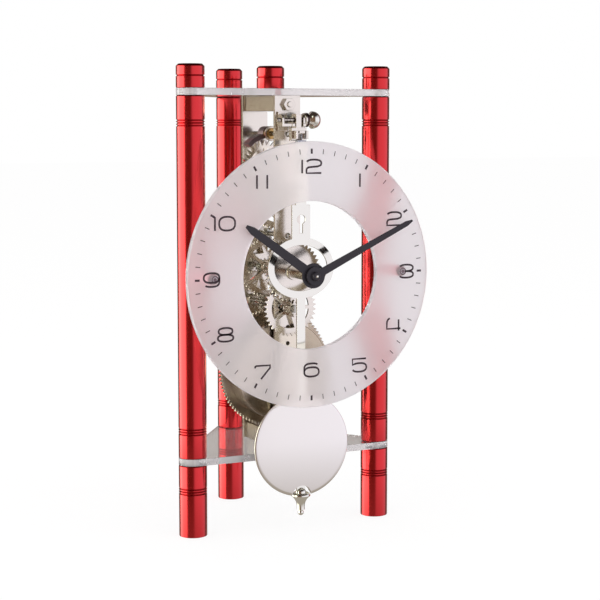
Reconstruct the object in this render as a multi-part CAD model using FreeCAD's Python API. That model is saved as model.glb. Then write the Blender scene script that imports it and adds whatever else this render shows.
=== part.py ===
"""Desk pendulum clock with an open movement between three round columns.

Millimetres. X is to the right, Y to the back and Z up, and the origin lies on the table
under the middle of the whole clock. Each solid is written to parts/NODE.step.
"""
import FreeCAD
import Part
import math
import os

# Stand: three columns, each cut by two acrylic plates
column_diameter = 12.0
column_spacing = 88.0
column_setback = 59.4
base_height = 31.0
cap_height = 10.0
plate_thickness = 3.0
edge_chamfer = 0.5
groove_width = 0.4
groove_depth = 0.3
groove_pitch = 1.1
groove_count = 3
cap_groove_rise = 5.1
column_groove_margin = 11.5
base_groove_drop = 11.2
stud_diameter = 4.0
stud_bite = 7.0
thread_clearance = 0.05
drill_overrun = 1.0

# Movement frame: two upright strips joined by a crossbar at each end
strip_width = 12.0
strip_thickness = 1.5
strip_setback = 0.5
strip_gap = 31.5
crossbar_width = 10.0
top_crossbar_height = 6.5
bottom_crossbar_height = 7.0
clamp_setback = 15.1
nut_across_flats = 5.0
nut_thickness = 2.2
screw_diameter = 2.4
screw_proud = 0.8
screw_bite = 6.0
top_nut_drop = 3.7
bottom_nut_rise = 3.5
foot_screw_head_diameter = 7.0
foot_screw_head_height = 2.0
foot_screw_diameter = 3.0
peep_hole_diameter = 1.8
peep_hole_rises = (12.2, 19.3)

# Going train, from the barrel up to the escape wheel
barrel_axis_rise = 34.3
second_offset = 4.0
pallet_rise = 14.13
frame_top_margin = 16.2
great_module = 0.54
great_teeth = 96
second_pinion_leaves = 12
second_module = 0.4236
second_teeth = 60
center_pinion_leaves = 12
center_module = 0.54
center_teeth = 48
third_pinion_leaves = 8
third_module = 0.575
third_teeth = 44
fourth_pinion_leaves = 8
fourth_module = 0.6
fourth_teeth = 41
escape_pinion_leaves = 8
escape_teeth = 30
escape_wheel_diameter = 22.6
escape_tooth_height = 2.3
escape_rim_width = 1.3

# Teeth: thinned involute flanks, so that each pair turns freely
pressure_angle = math.radians(30.0)
addendum_share = 0.85
dedendum_share = 1.15
tooth_width_share = 0.42

# Wheels, arbors and pivots
wheel_thickness = 1.2
wheel_rim_width = 2.2
wheel_hub_diameter = 5.6
wheel_hub_length = 3.0
spoke_width = 1.5
spoke_count = 5
arbor_diameter = 2.0
pivot_diameter = 1.2
pivot_clearance = 0.05
end_shake = 0.3
oil_sink_diameter = 2.8
oil_sink_depth = 0.5

# Depth of each wheel behind the front strip's inner face
great_wheel_depth = 12.3
great_wheel_thickness = 1.6
second_pinion_depth = 11.3
second_pinion_length = 4.6
second_wheel_depth = 24.5
center_pinion_depth = 23.0
center_pinion_length = 3.7
center_wheel_depth = 18.1
third_pinion_depth = 16.7
third_pinion_length = 4.0
third_wheel_depth = 27.7
fourth_pinion_depth = 26.5
fourth_pinion_length = 4.0
fourth_wheel_depth = 8.5
escape_pinion_depth = 7.1
escape_pinion_length = 4.0
escape_wheel_depth = 20.5
escape_wheel_thickness = 1.0

# Mainspring barrel, its arbor and the winding ratchet behind the rear strip
barrel_diameter = 44.0
barrel_wall = 0.8
barrel_depth = 2.0
barrel_cover_thickness = 1.0
barrel_core_diameter = 6.4
barrel_core_margin = 0.4
barrel_pivot_diameter = 3.6
mainspring_thickness = 0.45
mainspring_half_turns = 14
mainspring_inner_radius = 5.0
mainspring_side_gap = 0.3
ratchet_gap = 0.4
ratchet_thickness = 1.4
ratchet_diameter = 15.0
ratchet_tooth_height = 1.0
ratchet_teeth = 24
winding_square = 2.5
winding_square_length = 7.0
click_pivot_height = 12.3
click_pivot_offset = 3.0
click_width = 3.2
click_nose_height = 1.2
click_lean = math.radians(46.0)
click_clearance = 0.12
click_heel_clearance = 0.3
click_screw_diameter = 1.6
click_screw_head_diameter = 3.0
click_screw_head_height = 0.8
click_spring_thickness = 0.4
click_spring_length = 9.0

# Anchor, its arbor and the crutch that the anchor swings
anchor_depth = 16.7
anchor_width = 5.5
anchor_band = 2.0
anchor_clearance = 0.9
anchor_half_angle = 47.0
anchor_hub_diameter = 6.4
collet_diameter = 6.6
collet_depth = 14.4
collet_length = 2.2
crutch_depth = 2.0
crutch_thickness = 1.2
crutch_width = 1.8
crutch_hub_diameter = 5.0
crutch_length = 21.8
crutch_eye_diameter = 7.0
crutch_eye_bore = 4.4
crutch_pin_diameter = 1.2
crutch_pin_overhang = 0.8
crutch_slot_margin = 0.9
pendulum_swing = math.radians(3.0)

# Motion work between the front strip and the dial
motion_module = 0.655
cannon_leaves = 12
minute_teeth = 36
minute_leaves = 10
hour_teeth = 40
cannon_reach = 3.4
cannon_thickness = 1.4
cannon_pipe_diameter = 3.4
minute_wheel_reach = 3.6
minute_wheel_thickness = 1.0
minute_pinion_length = 4.0
minute_stud_head_diameter = 3.4
minute_stud_head_height = 0.5
hour_wheel_reach = 6.4
hour_wheel_thickness = 1.2
hour_boss_diameter = 6.6
hour_boss_length = 1.4
hour_pipe_wall = 0.75

# Dial ring and its two standoffs
dial_diameter = 112.0
dial_window_diameter = 62.4
dial_thickness = 3.0
dial_reach = 25.0
standoff_diameter = 4.6
standoff_spigot_diameter = 2.6
standoff_spigot_length = 3.5
dial_screw_diameter = 2.0
dial_screw_head_diameter = 3.2
dial_screw_head_height = 0.7
dial_screw_bite = 5.0

# Hands, set at ten past ten
hand_thickness = 0.6
hour_hand_gap = 1.4
minute_hand_gap = 1.0
hour_hand_length = 37.5
hour_hand_width = 4.0
hour_hand_tip_length = 3.4
hour_hand_tip_width = 1.6
hour_hand_boss_diameter = 10.6
hour_hand_angle = math.radians(305.4)
minute_hand_length = 51.6
minute_hand_width = 3.4
minute_hand_tip_length = 3.0
minute_hand_tip_width = 1.2
minute_hand_boss_diameter = 7.8
minute_hand_angle = math.radians(64.4)
hand_nut_diameter = 3.8
hand_nut_thickness = 0.9
center_tip_length = 0.5

# Suspension: bracket, tilting yoke and the beat screw that tilts it
bracket_thickness = 1.2
bracket_width = 10.0
bracket_tab_bottom_rise = 1.4
bracket_tab_top_rise = 9.4
bracket_screw_rise = 7.4
bracket_screw_head_diameter = 3.4
bracket_screw_head_height = 1.0
bracket_screw_diameter = 1.6
shelf_rise = 3.2
shelf_reach = 17.0
lug_reach = 10.6
lug_drop = 2.8
yoke_pin_diameter = 2.4
yoke_thickness = 1.0
yoke_gap = 0.4
yoke_width = 7.0
yoke_drop = 2.5
yoke_rise = 2.6
yoke_front_reach = 16.2
cheek_inner = 1.9
cheek_thickness = 1.0
cheek_drop = 2.0
cheek_rise = 1.4
chop_width = 2.6
chop_top_rise = 1.4
tail_left = 3.0
tail_right = 0.6
tail_top_rise = 8.4
tail_slot_margin = 0.7
beat_screw_rise = 5.9
beat_screw_reach = 14.0
beat_screw_diameter = 2.0
beat_screw_left = 11.0
beat_bore_clearance = 0.6
ear_thickness = 0.9
left_ear_place = 9.4
right_ear_place = 0.4
ear_margin = 1.5
beat_collar_place = 1.4
beat_collar_width = 2.4
beat_collar_diameter = 5.8
beat_knob_place = 4.3
beat_knob_width = 4.7
beat_knob_diameter = 7.4
beat_knob_rim_share = 0.55

# Pendulum: suspension spring, flat rod with its loop, bob and rating nut
spring_gap = 0.3
spring_thickness = 0.25
spring_width = 2.4
spring_block_top_drop = 2.6
spring_block_height = 2.0
spring_block_width = 4.0
rod_reach = 14.7
rod_thickness = 0.8
upper_rod_width = 5.0
rod_plate_width = 8.5
rod_plate_height = 13.8
keyhole_rise = 7.7
keyhole_diameter = 4.0
keyhole_slot_width = 1.7
keyhole_length = 5.9
loop_rise = 2.3
loop_outer_width = 31.0
loop_outer_height = 26.0
loop_inner_width = 25.0
loop_inner_height = 19.6
lower_rod_width = 4.0
rod_thread_diameter = 1.6
rod_slot_height = 4.0
bob_drop = 132.8
bob_diameter = 44.6
bob_rim_thickness = 2.0
bob_front_bulge = 1.3
bob_back_bulge = 0.6
bob_slot_clearance = 0.1
bob_notch_width = 6.2
rating_gap = 0.1
rating_flange_diameter = 8.2
rating_flange_height = 2.4
rating_neck_diameter = 3.4
rating_neck_height = 1.6
rating_cone_top_diameter = 4.0
rating_cone_bottom_diameter = 2.4
rating_cone_height = 4.3
rating_ball_diameter = 2.2
rating_travel_gap = 0.8
rating_bore_depth = 7.9
rating_bore_margin = 1.1

# Places that follow from the sizes above
column_radius = column_diameter / 2
lower_plate_z = base_height
column_z = base_height + plate_thickness
front_strip_reach = strip_setback + strip_thickness
hour_hand_reach = dial_reach + hour_hand_gap
minute_hand_reach = hour_hand_reach + hand_thickness + minute_hand_gap
hand_nut_reach = minute_hand_reach + hand_thickness
tip_reach = hand_nut_reach + hand_nut_thickness + center_tip_length
front_y = (tip_reach - column_setback - column_radius) / 2
barrel_to_second = great_module * (great_teeth + second_pinion_leaves) / 2
second_to_center = second_module * (second_teeth + center_pinion_leaves) / 2
barrel_axis_height = column_z + barrel_axis_rise
second_axis_height = barrel_axis_height + math.sqrt(barrel_to_second ** 2 - second_offset ** 2)
center_axis_height = second_axis_height + math.sqrt(second_to_center ** 2 - second_offset ** 2)
third_axis_height = center_axis_height + center_module * (center_teeth + third_pinion_leaves) / 2
fourth_axis_height = third_axis_height + third_module * (third_teeth + fourth_pinion_leaves) / 2
escape_axis_height = fourth_axis_height + fourth_module * (fourth_teeth + escape_pinion_leaves) / 2
pallet_axis_height = escape_axis_height + pallet_rise
column_height = pallet_axis_height + frame_top_margin - column_z
top_plate_z = column_z + column_height
cap_z = top_plate_z + plate_thickness
minute_axis_height = center_axis_height - motion_module * (cannon_leaves + minute_teeth) / 2
hour_module = motion_module * (cannon_leaves + minute_teeth) / (minute_leaves + hour_teeth)
bob_bottom_height = pallet_axis_height - bob_drop - bob_diameter / 2
rating_neck_top = bob_bottom_height - rating_gap + rating_neck_height
rating_bore_bottom = rating_neck_top - rating_bore_depth

ALONG_X = FreeCAD.Vector(1, 0, 0)
ALONG_Y = FreeCAD.Vector(0, 1, 0)
ALONG_Z = FreeCAD.Vector(0, 0, 1)


def ahead(reach):
    """The Y of a plane that lies a reach in front of the front columns' axes."""
    return front_y - reach


def inside(depth):
    """The Y of a plane that lies a depth behind the front strip's inner face."""
    return front_y - strip_setback + depth


def polar(center, radius, angle, y):
    """A point in the plane of the wheels, its angle measured from +X towards +Z."""
    x, z = center
    return FreeCAD.Vector(x + radius * math.cos(angle), y, z + radius * math.sin(angle))


def box(x_range, y_range, z_range):
    corner = FreeCAD.Vector(min(x_range), min(y_range), min(z_range))
    sizes = [max(span) - min(span) for span in (x_range, y_range, z_range)]
    return Part.makeBox(sizes[0], sizes[1], sizes[2], corner)


def pin(center, y_range, diameter):
    """A round bar along Y, or the drill that makes its hole."""
    start = FreeCAD.Vector(center[0], min(y_range), center[1])
    return Part.makeCylinder(diameter / 2, max(y_range) - min(y_range), start, ALONG_Y)


def post(x, y, z_range, diameter):
    """A round bar along Z, or the drill that makes its hole."""
    start = FreeCAD.Vector(x, y, min(z_range))
    return Part.makeCylinder(diameter / 2, max(z_range) - min(z_range), start, ALONG_Z)


def turned(profile, base, axis):
    """Turn (radius, distance along the axis) corners, as on a lathe."""
    corners = [FreeCAD.Vector(radius, 0, along) for radius, along in profile]
    face = Part.Face(Part.makePolygon(corners + corners[:1]))
    solid = face.revolve(FreeCAD.Vector(0, 0, 0), ALONG_Z, 360)
    solid.Placement = FreeCAD.Placement(base, FreeCAD.Rotation(ALONG_Z, axis))
    return solid


def sheet(points, y, thickness):
    """A flat piece that fills an outline of corner points and is thick along Y."""
    corners = [FreeCAD.Vector(x, y, z) for x, z in points]
    face = Part.Face(Part.makePolygon(corners + corners[:1]))
    return face.extrude(FreeCAD.Vector(0, thickness, 0))


def oval(center, width, height, y, thickness):
    x, z = center
    middle = FreeCAD.Vector(x, y, z)
    side = FreeCAD.Vector(x + width / 2, y, z)
    top = FreeCAD.Vector(x, y, z + height / 2)
    edge = Part.Ellipse(side, top, middle).toShape()
    return Part.Face(Part.Wire([edge])).extrude(FreeCAD.Vector(0, thickness, 0))


def joined(solids):
    """Fuse solids into one piece and take away the seams between them."""
    return solids[0].multiFuse(solids[1:]).removeSplitter()


def group(solids):
    """Keep like fasteners as separate solids of one node."""
    return Part.makeCompound(solids)


# Teeth

def involute(angle):
    return math.tan(angle) - angle


def tooth_flank(teeth, module):
    """(radius, half the tooth's angle there), from its root to its tip."""
    pitch_radius = module * teeth / 2
    base_radius = pitch_radius * math.cos(pressure_angle)
    root = pitch_radius - dedendum_share * module
    tip = pitch_radius + addendum_share * module
    start = max(base_radius, root)
    at_pitch = tooth_width_share * math.pi / teeth + involute(pressure_angle)
    flank = []
    for radius in (start, (start + tip) / 2, tip):
        flank.append((radius, at_pitch - involute(math.acos(base_radius / radius))))
    if root < start:
        flank.insert(0, (root, flank[0][1]))
    return flank


def gear(center, teeth, module, phase, y, thickness):
    """A toothed disc with a tooth at the phase angle."""
    flank = tooth_flank(teeth, module)
    corners = []
    for tooth in range(teeth):
        middle = phase + 2 * math.pi * tooth / teeth
        rising = [(radius, middle - half) for radius, half in flank]
        falling = [(radius, middle + half) for radius, half in reversed(flank)]
        corners += [polar(center, radius, angle, y) for radius, angle in rising + falling]
    face = Part.Face(Part.makePolygon(corners + corners[:1]))
    return face.extrude(FreeCAD.Vector(0, thickness, 0))


def meshed_phase(phase, teeth, center, other_teeth, other_center):
    """The phase at which another wheel's teeth stand in this wheel's gaps."""
    towards = math.atan2(other_center[1] - center[1], other_center[0] - center[0])
    past_tooth = (towards - phase) * teeth / (2 * math.pi) % 1
    return towards + math.pi - 2 * math.pi / other_teeth * (0.5 - past_tooth)


def crossed(disc, center, y, thickness, outer_radius, inner_radius, spokes):
    """Cut the windows between a wheel's spokes."""
    depth = (y - drill_overrun, y + thickness + drill_overrun)
    cutter = pin(center, depth, 2 * outer_radius).cut(pin(center, depth, 2 * inner_radius))
    for spoke in range(spokes):
        arm = box((0, outer_radius + drill_overrun), depth, (-spoke_width / 2, spoke_width / 2))
        turn = math.degrees(2 * math.pi * spoke / spokes)
        arm.rotate(FreeCAD.Vector(0, 0, 0), ALONG_Y, turn)
        arm.translate(FreeCAD.Vector(center[0], 0, center[1]))
        cutter = cutter.cut(arm)
    return disc.cut(cutter)


def train_wheel(center, teeth, module, phase, depth, thickness=wheel_thickness):
    """A crossed wheel with its hub, bored for its arbor."""
    y = inside(depth)
    root_radius = module * teeth / 2 - dedendum_share * module
    disc = gear(center, teeth, module, phase, y, thickness)
    disc = crossed(disc, center, y, thickness, root_radius - wheel_rim_width,
                   wheel_hub_diameter / 2, spoke_count)
    hub_start = y + (thickness - wheel_hub_length) / 2
    hub_range = (hub_start, hub_start + wheel_hub_length)
    hub = pin(center, hub_range, wheel_hub_diameter)
    bore = pin(center, hub_range, arbor_diameter)
    return joined([disc, hub]).cut(bore)


def arbor(center, leaves, module, phase, depth, length, front_end=None):
    """A steel arbor with its pinion and two pivots."""
    shoulders = (inside(end_shake), inside(strip_gap - end_shake))
    outer_faces = (inside(-strip_thickness), inside(strip_gap + strip_thickness))
    solids = [pin(center, shoulders, arbor_diameter), pin(center, outer_faces, pivot_diameter)]
    solids.append(gear(center, leaves, module, phase, inside(depth), length))
    if front_end is not None:
        solids.append(pin(center, (front_end, inside(end_shake)), arbor_diameter))
    return joined(solids)


# Centers of the arbors, as (X, Z)

barrel_center = (0, barrel_axis_height)
second_center = (-second_offset, second_axis_height)
center_center = (0, center_axis_height)
third_center = (0, third_axis_height)
fourth_center = (0, fourth_axis_height)
escape_center = (0, escape_axis_height)
pallet_center = (0, pallet_axis_height)
minute_center = (0, minute_axis_height)


# Phases: each wheel's teeth stand in the gaps of the one that it meets

upwards = math.pi / 2
center_phase = upwards
center_pinion_phase = upwards
second_phase = meshed_phase(center_pinion_phase, center_pinion_leaves, center_center,
                            second_teeth, second_center)
second_pinion_phase = upwards
great_phase = meshed_phase(second_pinion_phase, second_pinion_leaves, second_center,
                           great_teeth, barrel_center)
third_pinion_phase = meshed_phase(center_phase, center_teeth, center_center,
                                  third_pinion_leaves, third_center)
third_phase = upwards
fourth_pinion_phase = meshed_phase(third_phase, third_teeth, third_center,
                                   fourth_pinion_leaves, fourth_center)
fourth_phase = upwards
escape_pinion_phase = meshed_phase(fourth_phase, fourth_teeth, fourth_center,
                                   escape_pinion_leaves, escape_center)
cannon_phase = upwards
minute_phase = meshed_phase(cannon_phase, cannon_leaves, center_center,
                            minute_teeth, minute_center)
minute_pinion_phase = upwards
hour_phase = meshed_phase(minute_pinion_phase, minute_leaves, minute_center,
                          hour_teeth, center_center)


# Stand

column_places = {
    "left": (-column_spacing / 2, front_y),
    "right": (column_spacing / 2, front_y),
    "rear": (0, front_y + column_setback),
}


def grooved_bar(x, y, z, height, groove_heights):
    """A round bar with chamfered ends and fine turned grooves."""
    profile = [(0, 0), (column_radius - edge_chamfer, 0), (column_radius, edge_chamfer)]
    for middle in sorted(groove_heights):
        bottom = middle - groove_width / 2
        top = middle + groove_width / 2
        profile += [(column_radius, bottom), (column_radius - groove_depth, bottom)]
        profile += [(column_radius - groove_depth, top), (column_radius, top)]
    profile += [(column_radius, height - edge_chamfer), (column_radius - edge_chamfer, height)]
    profile.append((0, height))
    return turned(profile, FreeCAD.Vector(x, y, z), ALONG_Z)


def groove_set(middle):
    """Heights of one set of grooves about its middle."""
    first = middle - groove_pitch * (groove_count - 1) / 2
    return [first + groove_pitch * step for step in range(groove_count)]


def stud_hole(x, y, z_end, deep):
    """A tapped hole into a bar's end; deep is negative when it goes down."""
    reach = math.copysign(stud_bite + drill_overrun, deep)
    start = z_end - math.copysign(drill_overrun, deep)
    return post(x, y, (start, z_end + reach), stud_diameter + 2 * thread_clearance)


def standoff_hole(x):
    """The cross hole that holds a dial standoff's spigot."""
    reach = column_radius + drill_overrun
    depth = column_radius - standoff_spigot_length
    return pin((x, center_axis_height), (ahead(reach), ahead(depth)),
               standoff_spigot_diameter + 2 * thread_clearance)


def stand_nodes():
    nodes = {}
    studs = []
    for side, (x, y) in column_places.items():
        base = grooved_bar(x, y, 0, base_height, groove_set(base_height - base_groove_drop))
        nodes["column_base_" + side] = base.cut(stud_hole(x, y, base_height, -1))
        low = groove_set(column_groove_margin)
        high = groove_set(column_height - column_groove_margin)
        column = grooved_bar(x, y, column_z, column_height, low + high)
        column = column.cut(stud_hole(x, y, column_z, 1)).cut(stud_hole(x, y, top_plate_z, -1))
        if side != "rear":
            column = column.cut(standoff_hole(x))
        nodes["column_" + side] = column
        cap = grooved_bar(x, y, cap_z, cap_height, [cap_groove_rise])
        nodes["column_cap_" + side] = cap.cut(stud_hole(x, y, cap_z, 1))
        for plate_z in (lower_plate_z, top_plate_z):
            reach = (plate_z - stud_bite, plate_z + plate_thickness + stud_bite)
            studs.append(post(x, y, reach, stud_diameter))
    nodes["column_studs"] = group(studs)
    return nodes


def rounded_triangle(z):
    """An acrylic plate whose corners are flush with the columns."""
    centers = [column_places[side] for side in ("left", "right", "rear")]
    edges = []
    for index, (x, y) in enumerate(centers):
        to_x, to_y = centers[(index + 1) % 3]
        from_x, from_y = centers[index - 1]
        here = math.atan2(to_y - y, to_x - x) - math.pi / 2
        before = math.atan2(y - from_y, x - from_x) - math.pi / 2
        while here < before:
            here += 2 * math.pi
        arc = [FreeCAD.Vector(x + column_radius * math.cos(a), y + column_radius * math.sin(a), z)
               for a in (before, (before + here) / 2, here)]
        edges.append(Part.Arc(*arc).toShape())
        step = FreeCAD.Vector(to_x - x, to_y - y, 0)
        edges.append(Part.LineSegment(arc[2], arc[2] + step).toShape())
    plate = Part.Face(Part.Wire(edges)).extrude(FreeCAD.Vector(0, 0, plate_thickness))
    span = (z - drill_overrun, z + plate_thickness + drill_overrun)
    for x, y in centers:
        plate = plate.cut(post(x, y, span, stud_diameter + 2 * thread_clearance))
    return plate


def plate_nodes():
    clamp_y = front_y + clamp_setback
    span = (top_plate_z - drill_overrun, cap_z + drill_overrun)
    top = rounded_triangle(top_plate_z)
    top = top.cut(post(0, clamp_y, span, stud_diameter + 2 * thread_clearance))
    span = (lower_plate_z - drill_overrun, column_z + drill_overrun)
    lower = rounded_triangle(lower_plate_z)
    lower = lower.cut(post(0, clamp_y, span, foot_screw_diameter + 2 * thread_clearance))
    knob = grooved_bar(0, clamp_y, cap_z, cap_height, [cap_groove_rise])
    spigot = post(0, clamp_y, (top_plate_z - stud_bite / 2, cap_z), stud_diameter)
    head_range = (lower_plate_z - foot_screw_head_height, lower_plate_z)
    shank_range = (lower_plate_z, column_z + bottom_crossbar_height / 2)
    screw = joined([
        post(0, clamp_y, head_range, foot_screw_head_diameter),
        post(0, clamp_y, shank_range, foot_screw_diameter),
    ])
    return {
        "top_plate": top,
        "lower_plate": lower,
        "movement_knob": joined([knob, spigot]),
        "foot_screw": screw,
    }


# Movement frame

top_nut_height = top_plate_z - top_nut_drop
bottom_nut_height = column_z + bottom_nut_rise


def pivot_drills(y_range, sink_face):
    """Drills for the pivots of the train, with an oil sink on the outer face."""
    centers = [second_center, third_center, fourth_center, escape_center, pallet_center]
    drills = [pin(center, y_range, pivot_diameter + 2 * pivot_clearance) for center in centers]
    for x, z in centers:
        profile = [(0, 0), (oil_sink_diameter / 2, 0), (pivot_diameter / 2, oil_sink_depth)]
        profile.append((0, oil_sink_depth))
        inward = ALONG_Y if sink_face < inside(0) else ALONG_Y * -1
        drills.append(turned(profile, FreeCAD.Vector(x, sink_face, z), inward))
    return drills


def strip(y_range, sink_face, more_holes, slots):
    """A bar of the frame; each hole is its centre and diameter."""
    through = (min(y_range) - drill_overrun, max(y_range) + drill_overrun)
    plate = box((-strip_width / 2, strip_width / 2), y_range, (column_z, top_plate_z))
    holes = [
        ((0, top_nut_height), screw_diameter + 2 * thread_clearance),
        ((0, bottom_nut_height), screw_diameter + 2 * thread_clearance),
        (barrel_center, barrel_pivot_diameter + 2 * pivot_clearance),
    ]
    drills = pivot_drills(through, sink_face) + [slot(through) for slot in slots]
    for center, diameter in holes + more_holes:
        drills.append(pin(center, through, diameter))
    for drill in drills:
        plate = plate.cut(drill)
    return plate


def crutch_slot(through):
    """The slot that lets the crutch pin swing in the front strip."""
    half = crutch_length * math.sin(pendulum_swing) + crutch_pin_diameter / 2 + crutch_slot_margin
    middle = pallet_axis_height - crutch_length
    height = crutch_pin_diameter / 2 + crutch_slot_margin
    return box((-half, half), through, (middle - height, middle + height))


def crossbar(z_range, nut_height, clamp_range, clamp_diameter):
    bar = box((-crossbar_width / 2, crossbar_width / 2), (inside(0), inside(strip_gap)), z_range)
    hole = screw_diameter + 2 * thread_clearance
    bite = screw_bite + drill_overrun
    bar = bar.cut(pin((0, nut_height), (inside(-drill_overrun), inside(bite)), hole))
    back = (inside(strip_gap - bite), inside(strip_gap + drill_overrun))
    bar = bar.cut(pin((0, nut_height), back, hole))
    return bar.cut(post(0, front_y + clamp_setback, clamp_range, clamp_diameter))


def frame_nut(z, face, outward):
    """A hexagon nut on its stud; outward is the side of the strip that it stands on."""
    corner = nut_across_flats / math.sqrt(3)
    corners = [(corner * math.cos(math.pi / 3 * k), z + corner * math.sin(math.pi / 3 * k))
               for k in range(6)]
    nut = sheet(corners, face, outward * nut_thickness)
    outer = face + outward * (nut_thickness + screw_proud)
    inner = face - outward * (strip_thickness + screw_bite)
    return joined([nut, pin((0, z), (outer, inner), screw_diameter)])


def frame_nodes():
    front_face = ahead(front_strip_reach)
    rear_face = inside(strip_gap + strip_thickness)
    bracket_hole = (0, pallet_axis_height + bracket_screw_rise)
    front_holes = [
        (center_center, arbor_diameter + 2 * pivot_clearance),
        (minute_center, arbor_diameter + 2 * thread_clearance),
        (bracket_hole, bracket_screw_diameter + 2 * thread_clearance),
    ]
    for rise in peep_hole_rises:
        front_holes.append(((0, barrel_axis_height + rise), peep_hole_diameter))
    rear_holes = [
        (center_center, pivot_diameter + 2 * pivot_clearance),
        (click_center, click_screw_diameter + 2 * thread_clearance),
    ]
    front = strip((front_face, inside(0)), front_face, front_holes, [crutch_slot])
    rear = strip((inside(strip_gap), rear_face), rear_face, rear_holes, [])
    stud_hole_size = stud_diameter + 2 * thread_clearance
    clamp_top = (top_plate_z - stud_bite / 2 - end_shake, top_plate_z + drill_overrun)
    clamp_low = (column_z - drill_overrun, column_z + bottom_crossbar_height / 2 + end_shake)
    top = crossbar((top_plate_z - top_crossbar_height, top_plate_z), top_nut_height,
                   clamp_top, stud_hole_size)
    bottom = crossbar((column_z, column_z + bottom_crossbar_height), bottom_nut_height,
                      clamp_low, foot_screw_diameter + 2 * thread_clearance)
    nuts = []
    for height in (top_nut_height, bottom_nut_height):
        nuts.append(frame_nut(height, front_face, -1))
        nuts.append(frame_nut(height, rear_face, 1))
    return {
        "front_strip": front,
        "rear_strip": rear,
        "top_crossbar": top,
        "bottom_crossbar": bottom,
        "frame_nuts": group(nuts),
    }


# Barrel and winding work

click_center = (click_pivot_offset, barrel_axis_height + click_pivot_height)
click_bearing = upwards + click_lean


def mainspring():
    """A flat spiral of half circles that winds outwards inside the barrel."""
    barrel_bore = barrel_diameter / 2 - barrel_wall
    growth = (barrel_bore - mainspring_inner_radius - mainspring_side_gap) / mainspring_half_turns
    y = inside(barrel_depth + barrel_cover_thickness + mainspring_side_gap)
    height = great_wheel_depth - barrel_depth - barrel_cover_thickness - 2 * mainspring_side_gap
    sides = {1: [], -1: []}
    offset = mainspring_thickness / 2
    for half_turn in range(mainspring_half_turns):
        facing = 1 if half_turn % 2 else -1
        middle = (barrel_center[0] + facing * growth / 2, barrel_center[1])
        radius = mainspring_inner_radius + growth * half_turn
        start = math.pi * half_turn
        for side, edges in sides.items():
            arc = [polar(middle, radius + side * offset, start + turn, y)
                   for turn in (0, upwards, math.pi)]
            edges.append(Part.Arc(*arc).toShape())
    starts = [sides[side][0].Vertexes[0].Point for side in (1, -1)]
    ends = [sides[side][-1].Vertexes[-1].Point for side in (1, -1)]
    caps = [Part.LineSegment(*starts).toShape(), Part.LineSegment(*ends).toShape()]
    wire = Part.Wire(Part.__sortEdges__(sides[1] + sides[-1] + caps))
    return Part.Face(wire).extrude(FreeCAD.Vector(0, height, 0))


def ratchet_outline(tip_radius):
    """Saw teeth, steep on the side that the click holds."""
    root_radius = tip_radius - ratchet_tooth_height
    corners = []
    for tooth in range(ratchet_teeth):
        angle = click_bearing + 2 * math.pi * tooth / ratchet_teeth
        corners.append(polar(barrel_center, root_radius, angle, 0))
        corners.append(polar(barrel_center, tip_radius, angle, 0))
    return [(corner.x, corner.z) for corner in corners]


def click():
    """A pawl that hangs from its screw and stands in one ratchet gap."""
    y = inside(strip_gap + strip_thickness + ratchet_gap)
    tip_radius = ratchet_diameter / 2
    root_radius = tip_radius - ratchet_tooth_height
    pitch = 2 * math.pi / ratchet_teeth
    stop = click_bearing - click_clearance / root_radius
    nose = polar(barrel_center, root_radius + click_clearance, stop, y)
    brow = polar(barrel_center, tip_radius + click_nose_height, stop, y)
    heel = polar(barrel_center, tip_radius + click_heel_clearance, stop - pitch / 2, y)
    eye = FreeCAD.Vector(click_center[0], y, click_center[1])
    across = (nose - eye).cross(ALONG_Y).normalize() * (click_width / 2)
    corners = [nose, heel, eye + across, eye - across, brow]
    if (heel - brow).dot(across) < 0:
        corners = [nose, heel, eye - across, eye + across, brow]
    body = sheet([(corner.x, corner.z) for corner in corners], y, ratchet_thickness)
    y_range = (y, y + ratchet_thickness)
    ring = pin(click_center, y_range, click_width)
    bore = pin(click_center, y_range, click_screw_diameter + 2 * pivot_clearance)
    return joined([body, ring]).cut(bore)


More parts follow.
